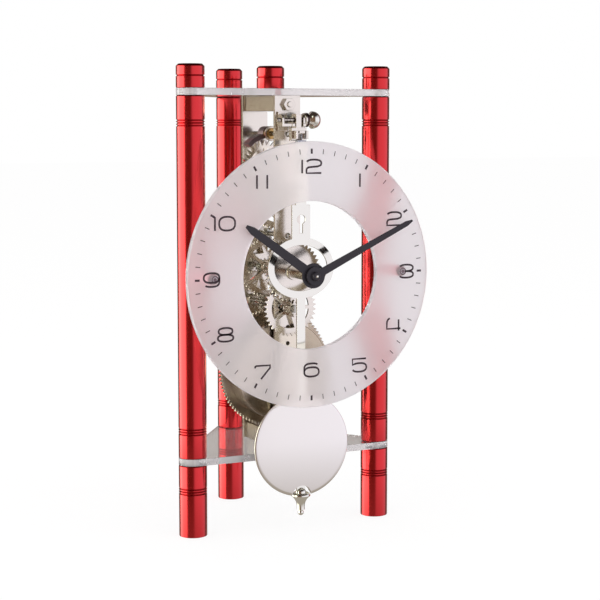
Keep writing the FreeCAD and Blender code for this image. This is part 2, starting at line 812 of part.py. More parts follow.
def barrel_nodes():
    outer_y = (inside(barrel_depth), inside(great_wheel_depth))
    bore_diameter = barrel_core_diameter + 2 * pivot_clearance
    drum = pin(barrel_center, outer_y, barrel_diameter)
    drum = drum.cut(pin(barrel_center, outer_y, barrel_diameter - 2 * barrel_wall))
    cover_y = (inside(barrel_depth), inside(barrel_depth + barrel_cover_thickness))
    cover = pin(barrel_center, cover_y, barrel_diameter - 2 * barrel_wall)
    cover = cover.cut(pin(barrel_center, cover_y, bore_diameter))
    wheel_y = inside(great_wheel_depth)
    wheel = gear(barrel_center, great_teeth, great_module, great_phase, wheel_y,
                 great_wheel_thickness)
    wheel = wheel.cut(pin(barrel_center, (wheel_y, wheel_y + great_wheel_thickness), bore_diameter))
    core = (inside(barrel_depth - barrel_core_margin),
            inside(great_wheel_depth + great_wheel_thickness + barrel_core_margin))
    ratchet_y = inside(strip_gap + strip_thickness + ratchet_gap)
    ratchet_back = ratchet_y + ratchet_thickness
    square_end = ratchet_back + winding_square_length
    half = winding_square / 2
    square = box((-half, half), (ratchet_back, square_end),
                 (barrel_axis_height - half, barrel_axis_height + half))
    shaft = (inside(-strip_thickness), ratchet_back)
    spindle = joined([
        pin(barrel_center, core, barrel_core_diameter),
        pin(barrel_center, shaft, barrel_pivot_diameter),
        square,
    ])
    ratchet = sheet(ratchet_outline(ratchet_diameter / 2), ratchet_y, ratchet_thickness)
    ratchet = ratchet.cut(pin(barrel_center, (ratchet_y, ratchet_back), barrel_pivot_diameter))
    rear_face = inside(strip_gap + strip_thickness)
    head_y = ratchet_back + pivot_clearance
    click_screw = joined([
        pin(click_center, (inside(strip_gap), head_y), click_screw_diameter),
        pin(click_center, (head_y, head_y + click_screw_head_height), click_screw_head_diameter),
    ])
    leaf_x = click_center[0] + click_width / 2 + click_clearance
    leaf_top = click_center[1] + click_spring_length
    leaf = box((leaf_x, leaf_x + click_spring_thickness), (rear_face, ratchet_back),
               (click_center[1], leaf_top))
    foot = box((leaf_x - click_width, leaf_x), (rear_face, ratchet_y),
               (leaf_top - click_width, leaf_top))
    return {
        "barrel_drum": drum,
        "barrel_cover": cover,
        "great_wheel": wheel,
        "mainspring": mainspring(),
        "barrel_arbor": spindle,
        "ratchet_wheel": ratchet,
        "click": click(),
        "click_screw": click_screw,
        "click_spring": joined([leaf, foot]),
    }


# Train

def train_nodes():
    return {
        "second_arbor": arbor(second_center, second_pinion_leaves, great_module,
                              second_pinion_phase, second_pinion_depth, second_pinion_length),
        "second_wheel": train_wheel(second_center, second_teeth, second_module, second_phase,
                                    second_wheel_depth),
        "center_arbor": arbor(center_center, center_pinion_leaves, second_module,
                              center_pinion_phase, center_pinion_depth, center_pinion_length,
                              ahead(tip_reach)),
        "center_wheel": train_wheel(center_center, center_teeth, center_module, center_phase,
                                    center_wheel_depth),
        "third_arbor": arbor(third_center, third_pinion_leaves, center_module,
                             third_pinion_phase, third_pinion_depth, third_pinion_length),
        "third_wheel": train_wheel(third_center, third_teeth, third_module, third_phase,
                                   third_wheel_depth),
        "fourth_arbor": arbor(fourth_center, fourth_pinion_leaves, third_module,
                              fourth_pinion_phase, fourth_pinion_depth, fourth_pinion_length),
        "fourth_wheel": train_wheel(fourth_center, fourth_teeth, fourth_module, fourth_phase,
                                    fourth_wheel_depth),
        "escape_arbor": arbor(escape_center, escape_pinion_leaves, fourth_module,
                              escape_pinion_phase, escape_pinion_depth, escape_pinion_length),
        "escape_wheel": escape_wheel(),
    }


def escape_wheel():
    """Pointed teeth that lean forward, a thin rim and four spokes."""
    y = inside(escape_wheel_depth)
    tip = escape_wheel_diameter / 2
    root = tip - escape_tooth_height
    pitch = 2 * math.pi / escape_teeth
    outline_shares = ((root, 0.0), (tip, 0.18), (tip, 0.27), (root, 0.75))
    corners = []
    for tooth in range(escape_teeth):
        for radius, share in outline_shares:
            corner = polar(escape_center, radius, upwards + pitch * (tooth + share), 0)
            corners.append((corner.x, corner.z))
    disc = sheet(corners, y, escape_wheel_thickness)
    disc = crossed(disc, escape_center, y, escape_wheel_thickness, root - escape_rim_width,
                   wheel_hub_diameter / 2, spoke_count - 1)
    hub_start = y - wheel_hub_length + escape_wheel_thickness
    hub_range = (hub_start, hub_start + wheel_hub_length)
    hub = pin(escape_center, hub_range, wheel_hub_diameter)
    return joined([disc, hub]).cut(pin(escape_center, hub_range, arbor_diameter))


# Escapement

def anchor():
    """A bent strip that arches over the escape wheel, its pallets just clear of the tips."""
    y = inside(anchor_depth)
    inner = escape_wheel_diameter / 2 + anchor_clearance
    outer = inner + anchor_band
    spread = math.radians(anchor_half_angle)
    edges = []
    ends = []
    for radius in (inner, outer):
        arc = [polar(escape_center, radius, upwards + turn, y) for turn in (-spread, 0, spread)]
        edges.append(Part.Arc(*arc).toShape())
        ends.append((arc[0], arc[2]))
    for side in (0, 1):
        edges.append(Part.LineSegment(ends[0][side], ends[1][side]).toShape())
    wire = Part.Wire(Part.__sortEdges__(edges))
    band = Part.Face(wire).extrude(FreeCAD.Vector(0, anchor_width, 0))
    hub_range = (y, y + anchor_width)
    hub = pin(pallet_center, hub_range, anchor_hub_diameter)
    hub = hub.cut(pin(escape_center, hub_range, 2 * inner))
    return joined([band, hub]).cut(pin(pallet_center, hub_range, arbor_diameter))


def crutch():
    """An arm round the escape arbor, with a pin that reaches through the rod's slot."""
    y = inside(crutch_depth)
    y_range = (y, y + crutch_thickness)
    foot = pallet_axis_height - crutch_length
    arm = box((-crutch_width / 2, crutch_width / 2), y_range, (foot, pallet_axis_height))
    hub = pin(pallet_center, y_range, crutch_hub_diameter)
    eye = pin(escape_center, y_range, crutch_eye_diameter)
    tip = ahead(rod_reach + rod_thickness / 2 + crutch_pin_overhang)
    reach_pin = pin((0, foot + crutch_pin_diameter / 2), (tip, y + crutch_thickness),
                    crutch_pin_diameter)
    body = joined([arm, hub, eye]).cut(pin(escape_center, y_range, crutch_eye_bore))
    body = body.cut(pin(pallet_center, y_range, arbor_diameter))
    return joined([body, reach_pin])


def escapement_nodes():
    shoulders = (inside(end_shake), inside(strip_gap - end_shake))
    outer_faces = (inside(-strip_thickness), inside(strip_gap + strip_thickness))
    spindle = joined([
        pin(pallet_center, shoulders, arbor_diameter),
        pin(pallet_center, outer_faces, pivot_diameter),
    ])
    collet_y = (inside(collet_depth), inside(collet_depth + collet_length))
    collet = pin(pallet_center, collet_y, collet_diameter)
    return {
        "anchor": anchor(),
        "anchor_arbor": spindle,
        "anchor_collet": collet.cut(pin(pallet_center, collet_y, arbor_diameter)),
        "crutch": crutch(),
    }


# Motion work and hands

def piped(gear_disc, center, y_range, outer, inner):
    """Add a pipe to a wheel and bore both."""
    bored_through = (min(y_range) - drill_overrun, inside(0))
    return joined([gear_disc, pin(center, y_range, outer)]).cut(pin(center, bored_through, inner))


def motion_nodes():
    cannon_y = ahead(cannon_reach + cannon_thickness)
    leaves = gear(center_center, cannon_leaves, motion_module, cannon_phase, cannon_y,
                  cannon_thickness)
    cannon_pipe = (ahead(minute_hand_reach + hand_thickness), cannon_y)
    cannon = piped(leaves, center_center, cannon_pipe, cannon_pipe_diameter, arbor_diameter)

    wheel_y = ahead(minute_wheel_reach + minute_wheel_thickness)
    rim = motion_module * (minute_teeth / 2 - dedendum_share) - wheel_rim_width
    wheel = gear(minute_center, minute_teeth, motion_module, minute_phase, wheel_y,
                 minute_wheel_thickness)
    wheel = crossed(wheel, minute_center, wheel_y, minute_wheel_thickness, rim,
                    hour_boss_diameter / 2, spoke_count)
    pinion_y = wheel_y - minute_pinion_length
    pinion = gear(minute_center, minute_leaves, hour_module, minute_pinion_phase, pinion_y,
                  minute_pinion_length)
    through = (pinion_y - drill_overrun, inside(0))
    wheel = joined([wheel, pinion])
    wheel = wheel.cut(pin(minute_center, through, arbor_diameter + 2 * pivot_clearance))

    head_y = pinion_y - end_shake
    stud = joined([
        pin(minute_center, (head_y, inside(0)), arbor_diameter),
        pin(minute_center, (head_y - minute_stud_head_height, head_y), minute_stud_head_diameter),
    ])

    hour_y = ahead(hour_wheel_reach + hour_wheel_thickness)
    pipe_bore = cannon_pipe_diameter + 2 * pivot_clearance
    pipe_outer = pipe_bore + 2 * hour_pipe_wall
    disc = gear(center_center, hour_teeth, hour_module, hour_phase, hour_y, hour_wheel_thickness)
    boss = pin(center_center, (hour_y - hour_boss_length, hour_y), hour_boss_diameter)
    pipe_range = (ahead(hour_hand_reach + hand_thickness), hour_y)
    hour_wheel = piped(joined([disc, boss]), center_center, pipe_range, pipe_outer, pipe_bore)

    hour_hand = hand(hour_hand_reach, hour_hand_length, hour_hand_width, hour_hand_tip_length,
                     hour_hand_tip_width, hour_hand_boss_diameter, hour_hand_angle, pipe_outer)
    minute_hand = hand(minute_hand_reach, minute_hand_length, minute_hand_width,
                       minute_hand_tip_length, minute_hand_tip_width,
                       minute_hand_boss_diameter, minute_hand_angle, cannon_pipe_diameter)
    nut_range = (ahead(hand_nut_reach + hand_nut_thickness), ahead(hand_nut_reach))
    nut = pin(center_center, nut_range, hand_nut_diameter)
    return {
        "cannon_pinion": cannon,
        "minute_wheel": wheel,
        "minute_stud": stud,
        "hour_wheel": hour_wheel,
        "hour_hand": hour_hand,
        "minute_hand": minute_hand,
        "hand_nut": nut.cut(pin(center_center, nut_range, arbor_diameter)),
    }


def hand(reach, length, width, tip_length, tip_width, boss, angle, bore):
    """A straight hand with a short taper at its tip, turned clockwise from twelve."""
    y = ahead(reach + hand_thickness)
    half, half_tip, shoulder = width / 2, tip_width / 2, length - tip_length
    outline = [(0, -half), (shoulder, -half), (length, -half_tip), (length, half_tip)]
    outline += [(shoulder, half), (0, half)]
    corners = []
    for along, across in outline:
        x = along * math.sin(angle) + across * math.cos(angle)
        z = along * math.cos(angle) - across * math.sin(angle)
        corners.append((center_center[0] + x, center_center[1] + z))
    blade = sheet(corners, y, hand_thickness)
    y_range = (y, y + hand_thickness)
    disc = pin(center_center, y_range, boss)
    return joined([blade, disc]).cut(pin(center_center, y_range, bore))


# Dial

def dial_nodes():
    front = ahead(dial_reach)
    back = front + dial_thickness
    ring = pin(center_center, (front, back), dial_diameter)
    ring = ring.cut(pin(center_center, (front, back), dial_window_diameter))
    standoffs = []
    screws = []
    for side in (-1, 1):
        place = (side * column_spacing / 2, center_axis_height)
        ring = ring.cut(pin(place, (front, back), dial_screw_diameter + 2 * thread_clearance))
        seat = ahead(column_radius)
        post_body = pin(place, (back, seat + edge_chamfer), standoff_diameter)
        column = post(place[0], front_y, (0, cap_z), column_diameter)
        post_body = post_body.cut(column)
        spigot = (seat - edge_chamfer, seat + standoff_spigot_length - thread_clearance)
        post_body = joined([post_body, pin(place, spigot, standoff_spigot_diameter)])
        tapped = (back - drill_overrun, back + dial_screw_bite + drill_overrun)
        post_body = post_body.cut(
            pin(place, tapped, dial_screw_diameter + 2 * thread_clearance))
        standoffs.append(post_body)
        screws.append(joined([
            pin(place, (front - dial_screw_head_height, front), dial_screw_head_diameter),
            pin(place, (front, back + dial_screw_bite), dial_screw_diameter),
        ]))
    return {"dial": ring, "dial_standoffs": group(standoffs), "dial_screws": group(screws)}


# Suspension

shelf_z = pallet_axis_height + shelf_rise
beat_z = pallet_axis_height + beat_screw_rise
lug_front = ahead(lug_reach + bracket_thickness)
yoke_back = lug_front - yoke_gap
yoke_front = yoke_back - yoke_thickness


def beat_bore(x_range, diameter):
    start = FreeCAD.Vector(min(x_range), ahead(beat_screw_reach), beat_z)
    return Part.makeCylinder(diameter / 2, max(x_range) - min(x_range), start, ALONG_X)


def suspension_bracket():
    """A folded bracket: tab on the strip, shelf with two ears, and a lug with the yoke's pin."""
    half = bracket_width / 2
    face = ahead(front_strip_reach)
    tab = box((-half, half), (face - bracket_thickness, face),
              (pallet_axis_height + bracket_tab_bottom_rise,
               pallet_axis_height + bracket_tab_top_rise))
    shelf = box((-half, right_ear_place + ear_thickness), (ahead(shelf_reach), face),
                (shelf_z, shelf_z + bracket_thickness))
    slot_x = (-tail_left - tail_slot_margin, -tail_right + tail_slot_margin)
    slot = box(slot_x, (ahead(shelf_reach + drill_overrun), yoke_back + yoke_gap / 2),
               (shelf_z - drill_overrun, shelf_z + bracket_thickness + drill_overrun))
    shelf = shelf.cut(slot)
    lug = box((-yoke_width / 2, yoke_width / 2), (lug_front, ahead(lug_reach)),
              (pallet_axis_height - lug_drop, shelf_z))
    stud = pin(pallet_center, (yoke_front, lug_front), yoke_pin_diameter)
    radius = beat_screw_diameter / 2 + ear_margin
    solids = [tab, shelf, lug, stud]
    for place in (-left_ear_place, right_ear_place):
        x_range = (place, place + ear_thickness)
        y_range = (ahead(beat_screw_reach + radius), ahead(beat_screw_reach - radius))
        foot = box((min(place, -half), max(place + ear_thickness, -half)), y_range,
                   (shelf_z, shelf_z + bracket_thickness))
        ear = box(x_range, y_range, (shelf_z, beat_z))
        solids += [foot, ear, beat_bore(x_range, 2 * radius)]
    body = joined(solids)
    reach = (-left_ear_place - drill_overrun, right_ear_place + ear_thickness + drill_overrun)
    body = body.cut(beat_bore(reach, beat_screw_diameter + 2 * pivot_clearance))
    body = body.cut(slot)
    hole = (0, pallet_axis_height + bracket_screw_rise)
    return body.cut(pin(hole, (face - bracket_thickness, face),
                        bracket_screw_diameter + 2 * thread_clearance))


def suspension_yoke():
    """The yoke tilts on the pallet axis; its tail is crossed by the beat screw."""
    half = yoke_width / 2
    axis = pallet_axis_height
    front = ahead(yoke_front_reach)
    plate = box((-half, half), (yoke_front, yoke_back), (axis - yoke_drop, axis + yoke_rise))
    chop = box((-chop_width / 2, chop_width / 2), (front, yoke_front),
               (axis + spring_gap, axis + chop_top_rise))
    solids = [plate, chop]
    for side in (-1, 1):
        faces = (side * cheek_inner, side * (cheek_inner + cheek_thickness))
        solids.append(box(faces, (front, yoke_front), (axis - cheek_drop, axis + cheek_rise)))
    tail_x = (-tail_left, -tail_right)
    tail_front = ahead(beat_screw_reach + beat_screw_diameter / 2 + ear_margin)
    solids.append(box(tail_x, (tail_front, yoke_back), (axis + yoke_rise, axis + tail_top_rise)))
    solids.append(box(tail_x, (yoke_front, yoke_back), (axis + cheek_rise, axis + yoke_rise)))
    body = joined(solids)
    reach = (-tail_left - drill_overrun, -tail_right + drill_overrun)
    body = body.cut(beat_bore(reach, beat_screw_diameter + 2 * beat_bore_clearance))
    return body.cut(pin(pallet_center, (yoke_front, yoke_back),
                        yoke_pin_diameter + 2 * pivot_clearance))


def beat_screw():
    """Thread, collar and domed thumb knob, turned about X."""
    radius = beat_screw_diameter / 2
    collar = beat_collar_diameter / 2
    knob = beat_knob_diameter / 2
    rim = beat_knob_place + beat_knob_width * beat_knob_rim_share
    profile = [
        (0, -beat_screw_left),
        (radius, -beat_screw_left),
        (radius, beat_collar_place),
        (collar, beat_collar_place),
        (collar, beat_collar_place + beat_collar_width),
        (radius, beat_collar_place + beat_collar_width),
        (radius, beat_knob_place),
        (knob * beat_knob_rim_share, beat_knob_place),
        (knob, rim),
        (knob * beat_knob_rim_share, beat_knob_place + beat_knob_width),
        (0, beat_knob_place + beat_knob_width),
    ]
    return turned(profile, FreeCAD.Vector(0, ahead(beat_screw_reach), beat_z), ALONG_X)


def suspension_nodes():
    face = ahead(front_strip_reach)
    hole = (0, pallet_axis_height + bracket_screw_rise)
    head = face - bracket_thickness
    screw = joined([
        pin(hole, (head - bracket_screw_head_height, head), bracket_screw_head_diameter),
        pin(hole, (head, inside(0)), bracket_screw_diameter),
    ])
    return {
        "suspension_bracket": suspension_bracket(),
        "bracket_screw": screw,
        "suspension_yoke": suspension_yoke(),
        "beat_screw": beat_screw(),
    }


# Pendulum

def pendulum_rod():
    """One flat strip: upper strip with slots, loop round the hand pipes, lower strip."""
    y = ahead(rod_reach + rod_thickness / 2)
    y_range = (y, y + rod_thickness)
    axis = pallet_axis_height
    loop_center = (0, center_axis_height + loop_rise)
    top = axis - spring_block_top_drop - spring_block_height
    loop_top = loop_center[1] + loop_outer_height / 2
    plate_top = loop_top + rod_plate_height
    rod_end = rating_neck_top + rating_travel_gap
    loop_half = (loop_outer_height + loop_inner_height) / 4
    solids = [
        box((-upper_rod_width / 2, upper_rod_width / 2), y_range, (plate_top, top)),
        box((-rod_plate_width / 2, rod_plate_width / 2), y_range,
            (loop_center[1] + loop_half, plate_top)),
        oval(loop_center, loop_outer_width, loop_outer_height, y, rod_thickness),
        box((-lower_rod_width / 2, lower_rod_width / 2), y_range,
            (rod_end, loop_center[1] - loop_half)),
    ]
    body = joined(solids)
    body = body.cut(oval(loop_center, loop_inner_width, loop_inner_height, y, rod_thickness))
    keyhole = loop_top + keyhole_rise
    slot_half = keyhole_slot_width / 2
    body = body.cut(pin((0, keyhole), y_range, keyhole_diameter))
    body = body.cut(box((-slot_half, slot_half), y_range, (keyhole - keyhole_length, keyhole)))
    pin_half = crutch_pin_diameter / 2 + pivot_clearance
    middle = axis - crutch_length + crutch_pin_diameter / 2
    body = body.cut(box((-pin_half, pin_half), y_range,
                        (middle - rod_slot_height / 2, middle + rod_slot_height / 2)))
    thread_end = rating_bore_bottom + rating_bore_margin
    thread = post(0, ahead(rod_reach), (thread_end, rod_end), rod_thread_diameter)
    return joined([body, thread])


def pendulum_bob():
    """A shallow polished lens, slotted for the rod and notched for the rating nut."""
    radius = bob_diameter / 2
    rim = bob_rim_thickness / 2
    front = -rim - bob_front_bulge
    back = rim + bob_back_bulge
    middle_share = math.sqrt(0.5)
    shoulder_share = 0.5
    front_mid = (radius * middle_share, -rim - bob_front_bulge * shoulder_share)
    back_mid = (radius * middle_share, rim + bob_back_bulge * shoulder_share)

    def at(radial, along):
        return FreeCAD.Vector(radial, ahead(rod_reach) + along, pallet_axis_height - bob_drop)

    edges = [
        Part.Arc(at(0, front), at(*front_mid), at(radius, -rim)).toShape(),
        Part.LineSegment(at(radius, -rim), at(radius, rim)).toShape(),
        Part.Arc(at(radius, rim), at(*back_mid), at(0, back)).toShape(),
        Part.LineSegment(at(0, back), at(0, front)).toShape(),
    ]
    lens = Part.Face(Part.Wire(edges)).revolve(at(0, 0), ALONG_Y, 360)
    center_z = pallet_axis_height - bob_drop
    slot_half = lower_rod_width / 2 + bob_slot_clearance
    depth_half = rod_thickness / 2 + bob_slot_clearance
    slot = box((-slot_half, slot_half),
               (ahead(rod_reach) - depth_half, ahead(rod_reach) + depth_half),
               (center_z - radius - drill_overrun, center_z + radius + drill_overrun))
    notch_y = (ahead(rod_reach) + front - drill_overrun, ahead(rod_reach) + back + drill_overrun)
    notch = pin((0, center_z - radius), notch_y, bob_notch_width)
    return lens.cut(slot).cut(notch)


def rating_nut():
    """A flanged finial that carries the bob and is screwed along the rod's thread."""
    top = -rating_gap
    flange_low = top - rating_flange_height
    cone_low = flange_low - rating_cone_height
    profile = [
        (0, top + rating_neck_height),
        (rating_neck_diameter / 2, top + rating_neck_height),
        (rating_neck_diameter / 2, top),
        (rating_flange_diameter / 2, top),
        (rating_flange_diameter / 2, flange_low),
        (rating_cone_top_diameter / 2, flange_low),
        (rating_cone_bottom_diameter / 2, cone_low),
        (0, cone_low),
    ]
    place = FreeCAD.Vector(0, ahead(rod_reach), bob_bottom_height)
    body = turned(profile, place, ALONG_Z)
    ball_center = place + ALONG_Z * (cone_low - rating_ball_diameter / 4)
    body = joined([body, Part.makeSphere(rating_ball_diameter / 2, ball_center)])
    bore = (rating_bore_bottom, rating_neck_top + rating_gap)
    return body.cut(post(0, ahead(rod_reach), bore, rod_thread_diameter + 2 * pivot_clearance))


def suspension_spring():
    """A thin blade below the pallet axis, with the block that carries the rod."""
    axis = pallet_axis_height
    y_middle = ahead(rod_reach)
    block_top = axis - spring_block_top_drop
    blade_y = (y_middle - spring_width / 2, y_middle + spring_width / 2)
    blade = box((-spring_thickness / 2, spring_thickness / 2), blade_y, (block_top, axis))
    block = box((-spring_block_width / 2, spring_block_width / 2), blade_y,
                (block_top - spring_block_height, block_top))
    return joined([blade, block])


def pendulum_nodes():
    return {
        "suspension_spring": suspension_spring(),
        "pendulum_rod": pendulum_rod(),
        "pendulum_bob": pendulum_bob(),
        "rating_nut": rating_nut(),
    }


def main():
    os.makedirs("parts", exist_ok=True)
    makers = (stand_nodes, plate_nodes, frame_nodes, barrel_nodes, train_nodes, escapement_nodes,
              motion_nodes, dial_nodes, suspension_nodes, pendulum_nodes)
    for make in makers:
        for name, shape in make().items():
            shape.exportStep("parts/" + name + ".step")


main()
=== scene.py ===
import math

import bmesh
import bpy
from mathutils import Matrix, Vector


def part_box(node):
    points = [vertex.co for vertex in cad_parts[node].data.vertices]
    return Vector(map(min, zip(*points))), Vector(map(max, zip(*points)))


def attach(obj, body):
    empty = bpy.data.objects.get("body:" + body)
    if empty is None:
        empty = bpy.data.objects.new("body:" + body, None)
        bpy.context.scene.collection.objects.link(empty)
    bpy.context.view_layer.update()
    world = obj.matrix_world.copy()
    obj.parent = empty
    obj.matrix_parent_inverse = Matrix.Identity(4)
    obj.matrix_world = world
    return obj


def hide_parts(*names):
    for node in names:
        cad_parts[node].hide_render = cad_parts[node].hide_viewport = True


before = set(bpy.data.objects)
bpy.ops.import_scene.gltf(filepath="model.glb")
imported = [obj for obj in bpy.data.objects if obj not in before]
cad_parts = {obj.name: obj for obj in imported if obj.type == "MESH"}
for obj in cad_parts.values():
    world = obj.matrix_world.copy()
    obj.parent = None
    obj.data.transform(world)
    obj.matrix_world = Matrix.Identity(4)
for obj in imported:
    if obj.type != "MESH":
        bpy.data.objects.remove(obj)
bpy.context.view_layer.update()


# Camera, floor and studio light
# The camera stands a little to the left of the clock and above its middle.
# Two large soft boxes light it, with a dark gap between them behind the camera.

camera_place = (-0.31144, -0.66191, 0.17660)
camera_turn = (math.radians(83.822), 0.0, math.radians(-26.297))
camera_lens = 99.65
sensor_width = 36.0

floor_size = 12.0
light_distance = 1.3
light_aim = Vector((0.0, 0.01, 0.10))
soft_boxes = {
    "light_left": {"azimuth": -80.0, "width": 1.82, "height": 1.9, "radiance": 1.05},
    "light_right": {"azimuth": 27.5, "width": 1.66, "height": 1.9, "radiance": 1.05},
}
room_diffuse = (0.76, 0.75, 0.75, 1.0)
room_white = (1.0, 1.0, 1.0, 1.0)
mirror_strength = 4.0
room_stops = (
    (-180, (0.12, 0.09, 0.07)), (-168, (0.10, 0.07, 0.05)), (-160, (0.36, 0.27, 0.20)),
    (-150, (0.26, 0.19, 0.14)), (-143, (3.8, 3.8, 3.4)), (-76, (4.0, 4.0, 3.5)),
    (-71, (0.22, 0.13, 0.09)), (-20, (0.22, 0.13, 0.09)), (-6, (0.98, 0.93, 1.04)),
    (18, (1.12, 1.08, 1.20)), (60, (1.16, 1.12, 1.28)), (84, (1.10, 1.05, 1.20)),
    (96, (0.10, 0.06, 0.05)), (116, (0.07, 0.05, 0.04)), (126, (0.55, 0.46, 0.38)),
    (136, (0.10, 0.07, 0.05)), (156, (0.30, 0.22, 0.16)), (180, (0.12, 0.09, 0.07)),
)
ceiling_tint = (0.05, 0.035, 0.03, 1.0)
ground_tint = (0.46, 0.41, 0.37, 1.0)
ceiling_heights = (0.42, 0.70)
ground_heights = (-0.18, -0.60)
edge_depth = 2.5
edge_tint = (0.60, 0.575, 0.585, 1.0)
floor_colour = (0.86, 0.86, 0.86, 1.0)
floor_glow = 1.065
floor_seen_share = 0.82


def node(tree, kind, place=(0, 0), **settings):
    """Add one shader or geometry node and set its properties."""
    made = tree.nodes.new(kind)
    made.location = place
    for name, value in settings.items():
        setattr(made, name, value)
    return made


def join(tree, *pairs):
    """Link sockets in pairs, each from an output to an input."""
    for source, target in pairs:
        tree.links.new(source, target)


def placed(name, data):
    """Make an object from its data and add it to the scene."""
    made = bpy.data.objects.new(name, data)
    bpy.context.collection.objects.link(made)
    return made


camera_data = bpy.data.cameras.new("camera")
camera_data.lens = camera_lens
camera_data.sensor_width = sensor_width
camera = placed("camera", camera_data)
camera.location = camera_place
camera.rotation_euler = camera_turn
bpy.context.scene.camera = camera
bpy.context.scene.view_settings.view_transform = "Standard"

for name, box in soft_boxes.items():
    lamp = bpy.data.lights.new(name, "AREA")
    lamp.shape = "RECTANGLE"
    lamp.size = box["width"]
    lamp.size_y = box["height"]
    lamp.energy = box["radiance"] * math.pi * box["width"] * box["height"]
    light = placed(name, lamp)
    turn = math.radians(box["azimuth"])
    away = Vector((math.sin(turn), -math.cos(turn), 0.0))
    light.location = light_aim + away * light_distance
    light.rotation_euler = (-away).to_track_quat("-Z", "Y").to_euler()
    light.visible_glossy = False

room = bpy.data.worlds.new("studio")
bpy.context.scene.world = room
room.use_nodes = True
room.cycles.sampling_method = "NONE"
tree = room.node_tree
tree.nodes.clear()
path = node(tree, "ShaderNodeLightPath", (-900, 400))
way = node(tree, "ShaderNodeTexCoord", (-1500, 0))
parts = node(tree, "ShaderNodeSeparateXYZ", (-1300, 0))
backward = node(tree, "ShaderNodeMath", (-1100, -100), operation="MULTIPLY")
backward.inputs[1].default_value = -1.0
angle = node(tree, "ShaderNodeMath", (-900, 0), operation="ARCTAN2")
share = node(tree, "ShaderNodeMapRange", (-700, 0))
share.inputs["From Min"].default_value = -math.pi
share.inputs["From Max"].default_value = math.pi
stripes = node(tree, "ShaderNodeValToRGB", (-500, 0))
ramp = stripes.color_ramp
while len(ramp.elements) < len(room_stops):
    ramp.elements.new(0.5)
for element, (azimuth, colour) in zip(ramp.elements, room_stops):
    element.position = azimuth / 360 + 0.5
    element.color = [value / mirror_strength for value in colour] + [1.0]
bright = node(tree, "ShaderNodeVectorMath", (-350, -100), operation="SCALE")
bright.inputs["Scale"].default_value = mirror_strength
up = node(tree, "ShaderNodeMapRange", (-700, -500), clamp=True)
up.inputs["From Min"].default_value, up.inputs["From Max"].default_value = ceiling_heights
above = node(tree, "ShaderNodeMix", (-200, -200), data_type="RGBA")
above.inputs["B"].default_value = ceiling_tint
down = node(tree, "ShaderNodeMapRange", (-700, -300), clamp=True)
down.inputs["From Min"].default_value, down.inputs["From Max"].default_value = ground_heights
below = node(tree, "ShaderNodeMix", (-300, 0), data_type="RGBA")
below.inputs["B"].default_value = ground_tint
glossy = node(tree, "ShaderNodeMix", (-100, 0), data_type="RGBA")
glossy.inputs["A"].default_value = room_diffuse
seen = node(tree, "ShaderNodeMath", (-500, 500), operation="ADD", use_clamp=True)
through = node(tree, "ShaderNodeMath", (-300, 500), operation="ADD", use_clamp=True)
deep = node(tree, "ShaderNodeMath", (-300, 700), operation="GREATER_THAN")
deep.inputs[1].default_value = edge_depth
inner = node(tree, "ShaderNodeMix", (-100, 600), data_type="RGBA")
inner.inputs["A"].default_value = room_white
inner.inputs["B"].default_value = edge_tint
straight = node(tree, "ShaderNodeMix", (100, 0), data_type="RGBA")
sky = node(tree, "ShaderNodeBackground", (300, 0))
out = node(tree, "ShaderNodeOutputWorld", (500, 0))
join(tree,
     (way.outputs["Generated"], parts.inputs[0]),
     (parts.outputs["Y"], backward.inputs[0]),
     (parts.outputs["X"], angle.inputs[0]),
     (backward.outputs[0], angle.inputs[1]),
     (angle.outputs[0], share.inputs["Value"]),
     (share.outputs["Result"], stripes.inputs[0]),
     (parts.outputs["Z"], down.inputs["Value"]),
     (down.outputs["Result"], below.inputs["Factor"]),
     (stripes.outputs["Color"], bright.inputs[0]),
     (bright.outputs[0], above.inputs["A"]),
     (parts.outputs["Z"], up.inputs["Value"]),
     (up.outputs["Result"], above.inputs["Factor"]),
     (above.outputs["Result"], below.inputs["A"]),
     (path.outputs["Is Glossy Ray"], glossy.inputs["Factor"]),
     (below.outputs["Result"], glossy.inputs["B"]),
     (path.outputs["Is Camera Ray"], seen.inputs[0]),
     (path.outputs["Is Transmission Ray"], seen.inputs[1]),
     (seen.outputs[0], through.inputs[0]),
     (path.outputs["Transmission Depth"], through.inputs[1]),
     (path.outputs["Ray Depth"], deep.inputs[0]),
     (deep.outputs[0], inner.inputs["Factor"]),
     (inner.outputs["Result"], straight.inputs["B"]),
     (through.outputs[0], straight.inputs["Factor"]),
     (glossy.outputs["Result"], straight.inputs["A"]),
     (straight.outputs["Result"], sky.inputs["Color"]),
     (sky.outputs[0], out.inputs[0]))

floor_mesh = bpy.data.meshes.new("floor")
half = floor_size / 2
floor_mesh.from_pydata(
    [(-half, -half, 0), (half, -half, 0), (half, half, 0), (-half, half, 0)], [], [(0, 1, 2, 3)])
floor = placed("floor", floor_mesh)
paper = bpy.data.materials.new("white_floor")
paper.use_nodes = True
tree = paper.node_tree
tree.nodes.clear()
path = node(tree, "ShaderNodeLightPath", (-600, 200))
matt = node(tree, "ShaderNodeBsdfDiffuse", (-400, 0))
matt.inputs["Color"].default_value = floor_colour
glow = node(tree, "ShaderNodeEmission", (-400, -150))
glow.inputs["Color"].default_value = room_white
glow.inputs["Strength"].default_value = floor_glow
open_air = node(tree, "ShaderNodeBsdfTransparent", (-400, -300))
lit = node(tree, "ShaderNodeMath", (-400, 200), operation="MULTIPLY")
lit.inputs[1].default_value = floor_seen_share
seen = node(tree, "ShaderNodeMath", (-200, 300), operation="ADD", use_clamp=True)
through = node(tree, "ShaderNodeMath", (-200, 500), operation="ADD", use_clamp=True)
first = node(tree, "ShaderNodeMixShader", (-100, 0))
second = node(tree, "ShaderNodeMixShader", (100, 0))
out = node(tree, "ShaderNodeOutputMaterial", (300, 0))
